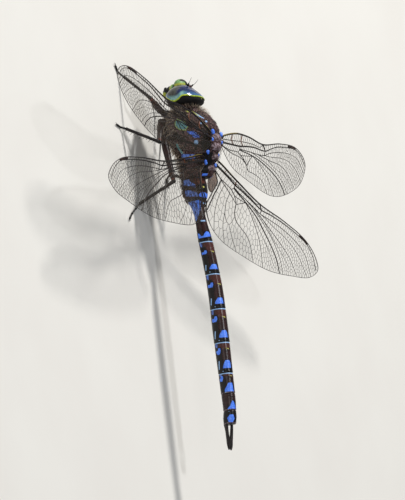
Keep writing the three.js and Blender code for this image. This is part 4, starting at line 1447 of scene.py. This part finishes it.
# ---- tail ----
# millimetres, and degrees for droop and lean; then the edges' widths as (share of length, share of width)
CERCUS = {"length": 4.75, "stalk": 0.55, "blade": 1.15, "x": 1.15, "z": -1.45, "droop": 5.5, "lean": 2}
CERCUS_OUTER = [(0, 1), (0.8, 1), (0.92, 0.5), (1, -0.6)]
CERCUS_INNER = [(0, 0), (0.29, 0.08), (0.5, 0.5), (0.68, 1), (0.88, 1), (0.95, 0.8), (1, 0.45)]
TAIL = 56.0  # where the abdomen ends
TAIL_TURNS = 2 * np.pi * np.arange(20) / 20


def clasper(side):
    """A leaf on a stalk, which widens inwards and has a ridge along its top."""
    share = np.linspace(0, 1, 30)
    stalk, blade = CERCUS["stalk"], CERCUS["blade"]
    outer = stalk / 2 * hermite(CERCUS_OUTER, share)
    inner = -stalk / 2 - (blade - stalk) * hermite(CERCUS_INNER, share)
    droop, lean = math.radians(CERCUS["droop"]), math.radians(CERCUS["lean"])
    span = np.array([0, math.cos(droop), -math.sin(droop)])
    across = np.array([side * math.cos(lean), 0, math.sin(lean)])
    over = np.cross(span, across) * side
    root = np.array([CERCUS["x"] * side, TAIL - 0.25, CERCUS["z"]])
    centre = root + share[:, None] * (CERCUS["length"] + 0.25) * span + (outer + inner)[:, None] / 2 * across
    centre[:, 0] -= side * 0.3 * smooth(share, 0, 0.9)
    thick = 0.29 * hermite([(0, 0.95), (0.3, 0.95), (0.75, 0.95), (1, 0.35)], share)[:, None]
    crest = 0.1 * np.sin(share * np.pi)[:, None] * (np.abs(np.cos(TAIL_TURNS)) < 0.35)
    wide = (outer - inner)[:, None] / 2 * np.cos(TAIL_TURNS)
    tall = thick * np.sin(TAIL_TURNS) + crest
    points, faces = capped(centre[:, None] + wide[..., None] * across + tall[..., None] * over)
    return points, (faces if side > 0 else flipped(faces))


def tail_plate():
    """The epiproct between the claspers."""
    t = np.linspace(0, 1, 14)
    centre = np.stack([0 * t, lerp(TAIL - 0.2, TAIL + 2.75, t), -2.3 + 0.1 * np.sin(t * 3)], 1)
    wide = hermite([(0, 0.5), (0.6, 0.42), (1, 0.2)], t)[:, None] * np.cos(TAIL_TURNS)
    deep = hermite([(0, 0.24), (1, 0.1)], t)[:, None] * np.sin(TAIL_TURNS)
    points, faces = capped(centre[:, None] + np.stack([wide, 0 * wide, deep], -1))
    return points, flipped(faces)


def make_tail(material):
    for hand, side in (("left", 1), ("right", -1)):
        make_piece("clasper_" + hand, clasper(side), material, ["cercus_" + hand])
    make_piece("tail_plate", tail_plate(), material, ["epiproct"])


# ---- hair ----
# which marks of the skin tint the hair on them
HAIR_MARKS = {"teal": ("teal", "teal_rim"), "blue": ("blue", "dusky", "pale"), "black": ("black", "seam")}
HAIRS, HAIR_SEED = 4600, 11
HAIR_POINTS = 7  # three at the root, three half way and the tip
UV_PATCH = 0.0015  # half size of a hair's patch in the UV map


def hair_roots(draw):
    """Roots on the thorax, denser in front and on the sides, and few on the pale marks and the abdomen."""
    y = draw.uniform(-6.9, 11.4, HAIRS * 3)
    turn = draw.uniform(-np.pi, np.pi, HAIRS * 3)
    degrees = np.degrees(np.abs(turn))
    marks = body_fields(y, turn)
    want = 0.7 - 0.4 * smooth(y, -4.0, 0.5) + 0.3 * smooth(degrees, 70, 110)
    want *= 1 - 0.8 * smooth(y, 8.5, 11)
    want *= 1 - 0.6 * smooth(y, 7.0, 7.6) * (1 - smooth(degrees, 50, 80))
    bare = merged(*(marks[kind] for kind in ("teal", "blue", "dusky", "pale", "yellow")))
    want *= np.where(bare > -0.3, 0.06, 1)
    keep = draw.uniform(0, 1, len(y)) < want
    keep &= np.cumsum(keep) <= HAIRS
    shades = {key: merged(*(marks[k][keep] for k in kinds)) for key, kinds in HAIR_MARKS.items()}
    return y[keep], turn[keep], shades


def hair_points(draw, y, turn):
    """Points of each hair, which stands off the skin and bends back and down."""
    n, step = len(y), 0.02
    root = body_point(y, turn)
    normal = unit(np.cross(body_point(y + step, turn) - root, body_point(y, turn + step) - root))
    outward = root - np.stack([0 * y, y, np.interp(y, STATIONS[:, 0], STATIONS[:, 1])], 1)
    normal *= np.sign((normal * outward).sum(1))[:, None]
    front, side = 1 - smooth(y, -6, -3.5), smooth(np.degrees(np.abs(turn)), 60, 110)
    lie = np.array([0, 1.0, -0.25]) + draw.normal(0, 0.35, (n, 3))
    stand = 0.75 + 0.5 * front + draw.normal(0, 0.12, n)
    way = unit(normal * stand[:, None] + unit(lie) * (0.75 - 0.35 * front)[:, None])
    length = draw.uniform(0.26, 0.55, n) * (1 + 1.2 * np.maximum(front, side)) * (1 - 0.45 * smooth(y, 6, 9))
    middle = root + way * (length * 0.55)[:, None]
    tip = middle + unit(way + np.array([0, 0.5, -0.35])) * (length * 0.5)[:, None]
    across = unit(np.cross(way, draw.normal(0, 1, (n, 3))))
    other = np.cross(way, across)
    width = (draw.uniform(0.016, 0.026, n) * (1 + 0.3 * side))[:, None]
    rings = []
    for centre, scale in ((root - normal * 0.08, 1.0), (middle, 0.75)):
        for angle in 2 * np.pi * np.arange(3) / 3:
            rings.append(centre + (across * math.cos(angle) + other * math.sin(angle)) * width * scale)
    return np.stack([*rings, tip], 1).reshape(-1, 3)


def hair_faces(count):
    base = np.arange(count)[:, None, None] * HAIR_POINTS
    quads = base + np.array([[0, 1, 4, 3], [1, 2, 5, 4], [2, 0, 3, 5]])
    ends = base + np.array([[3, 4, 6], [4, 5, 6], [5, 3, 6], [0, 2, 1]])
    return quads.reshape(-1, 4).tolist() + ends.reshape(-1, 3).tolist()


def hair_uv(y, turn):
    """A small patch for each hair, placed as its root lies on the body."""
    at = np.stack([turn / (2 * np.pi) * 0.98 + 0.5, (y + 7) / 19 * 0.98 + 0.01], 1)
    corners = UV_PATCH * np.array([(-1, -1), (1, -1), (0, 1), (-0.6, -0.6), (0.6, -0.6), (0, 0.6), (0, 0)])
    return (at[:, None] + corners).reshape(-1, 2)


def make_hair(material):
    """The coat: one joined piece of tapering hairs, paler in front and on the sides."""
    draw = np.random.default_rng(HAIR_SEED)
    y, turn, marks = hair_roots(draw)
    points = hair_points(draw, y, turn)
    flank = smooth(np.degrees(np.abs(turn)), 84, 116) * (1 - smooth(y, 4, 8))
    pale = np.maximum(1 - smooth(y, -5.3, -2.6), flank)
    white = np.clip(pale * 0.95 + draw.uniform(-0.35, 0.25, len(y)), 0, 1)
    fields = {key: np.repeat(value, HAIR_POINTS) for key, value in {"white": white, **marks}.items()}
    make_piece("thorax_hair", (points, hair_faces(len(y))), material, [], fields, hair_uv(y, turn))


# ---- scene: floor, light, camera ----
# the photo's camera: degrees and millimetres
VIEW = {
    "elevation": 22.47, "azimuth": 13.0, "roll": -78.04, "distance": 1200, "target": (-3.11, 20.74, -3.96),
    "lens": 448.2,
}


def make_floor(material):
    mesh = bpy.data.meshes.new("floor")
    half = 3.0
    corners = [(-half, -half, 0), (half, -half, 0), (half, half, 0), (-half, half, 0)]
    mesh.from_pydata(corners, [], [(0, 1, 2, 3)])
    mesh.materials.append(material)
    floor = bpy.data.objects.new("floor", mesh)
    bpy.context.scene.collection.objects.link(floor)


def make_light(name, place, size, power, tint=(1, 1, 1)):
    light = bpy.data.lights.new(name, "AREA")
    light.shape, light.size, light.energy, light.color = "DISK", size, power, tint
    lamp = bpy.data.objects.new(name, light)
    lamp.location = place
    lamp.rotation_mode = "QUATERNION"
    lamp.rotation_quaternion = (-Vector(place)).to_track_quat("-Z", "Y")
    bpy.context.scene.collection.objects.link(lamp)


def make_world():
    world = bpy.data.worlds.new("studio")
    world.use_nodes = True
    back = world.node_tree.nodes["Background"]
    back.inputs["Color"].default_value = (0.93, 0.96, 1.0, 1)
    back.inputs["Strength"].default_value = 0.24
    bpy.context.scene.world = world


def make_camera():
    """The photo's camera: turned about the part's origin, rolled, and aimed at a target in millimetres."""
    elevation, azimuth, roll = (math.radians(VIEW[key]) for key in ("elevation", "azimuth", "roll"))
    level = math.cos(elevation)
    back = np.array([level * math.cos(azimuth), level * math.sin(azimuth), math.sin(elevation)])
    side = unit(np.cross((0, 0, 1), back))
    up = np.cross(back, side) * math.cos(roll) + side * math.sin(roll)
    place = back * VIEW["distance"]
    away = unit(place - np.array(VIEW["target"]))
    right = unit(np.cross(up, away))
    data = bpy.data.cameras.new("camera")
    data.lens, data.clip_start, data.clip_end = VIEW["lens"], 0.01, 20
    camera = bpy.data.objects.new("camera", data)
    columns = [right, np.cross(away, right), away, (place + ZERO) * MM]
    camera.matrix_world = Matrix([*np.stack(columns, 1).tolist(), (0, 0, 0, 1)])
    bpy.context.scene.collection.objects.link(camera)
    bpy.context.scene.camera = camera


make_skin(skin_finish())
make_eyes(eye_finish())
face = face_finish()
make_face(face)
make_mouth(face)
head = dark_finish("head_cuticle", (8, 8, 9), (26, 22, 22))
make_capsule(dark_finish("head_rear", (7, 7, 8), (20, 18, 19), 0.7, 0.75), face)
make_antennae(head)
leg = leg_finish()
for leg_name in STANCE:
    make_leg(leg_name, leg)
wing_materials = {
    "vein": vein_finish(),
    "membrane": membrane_finish(),
    "stigma": dark_finish("stigma", (28, 18, 16), (60, 40, 32), 0.9, 0.35),
    "flap": flap_finish(),
    "root": dark_finish("hinge", (22, 15, 13), (74, 52, 40), 0.5, 0.45),
}
for wing_kind in ("fore", "hind"):
    wing_plan = WingPlan(wing_kind, np.random.default_rng(CELL_SEED))
    for wing_name, wing_row in WINGS.items():
        if wing_row[0] == wing_kind:
            make_wing(wing_name, wing_plan, wing_materials)
make_tail(dark_finish("tail_cuticle", (12, 9, 9), (34, 22, 20)))
make_hair(hair_finish())

make_floor(floor_finish())
make_world()
make_light("sun", (-0.17, -0.75, 0.64), 0.14, 9, (1, 0.98, 0.95))
make_light("sky", (0.09, -0.22, 1.0), 0.1, 2.2, (0.95, 0.97, 1))
make_light("front", (0.85, 0.1, 0.5), 0.6, 2.2)
make_camera()
bpy.context.scene.view_settings.view_transform = "Standard"
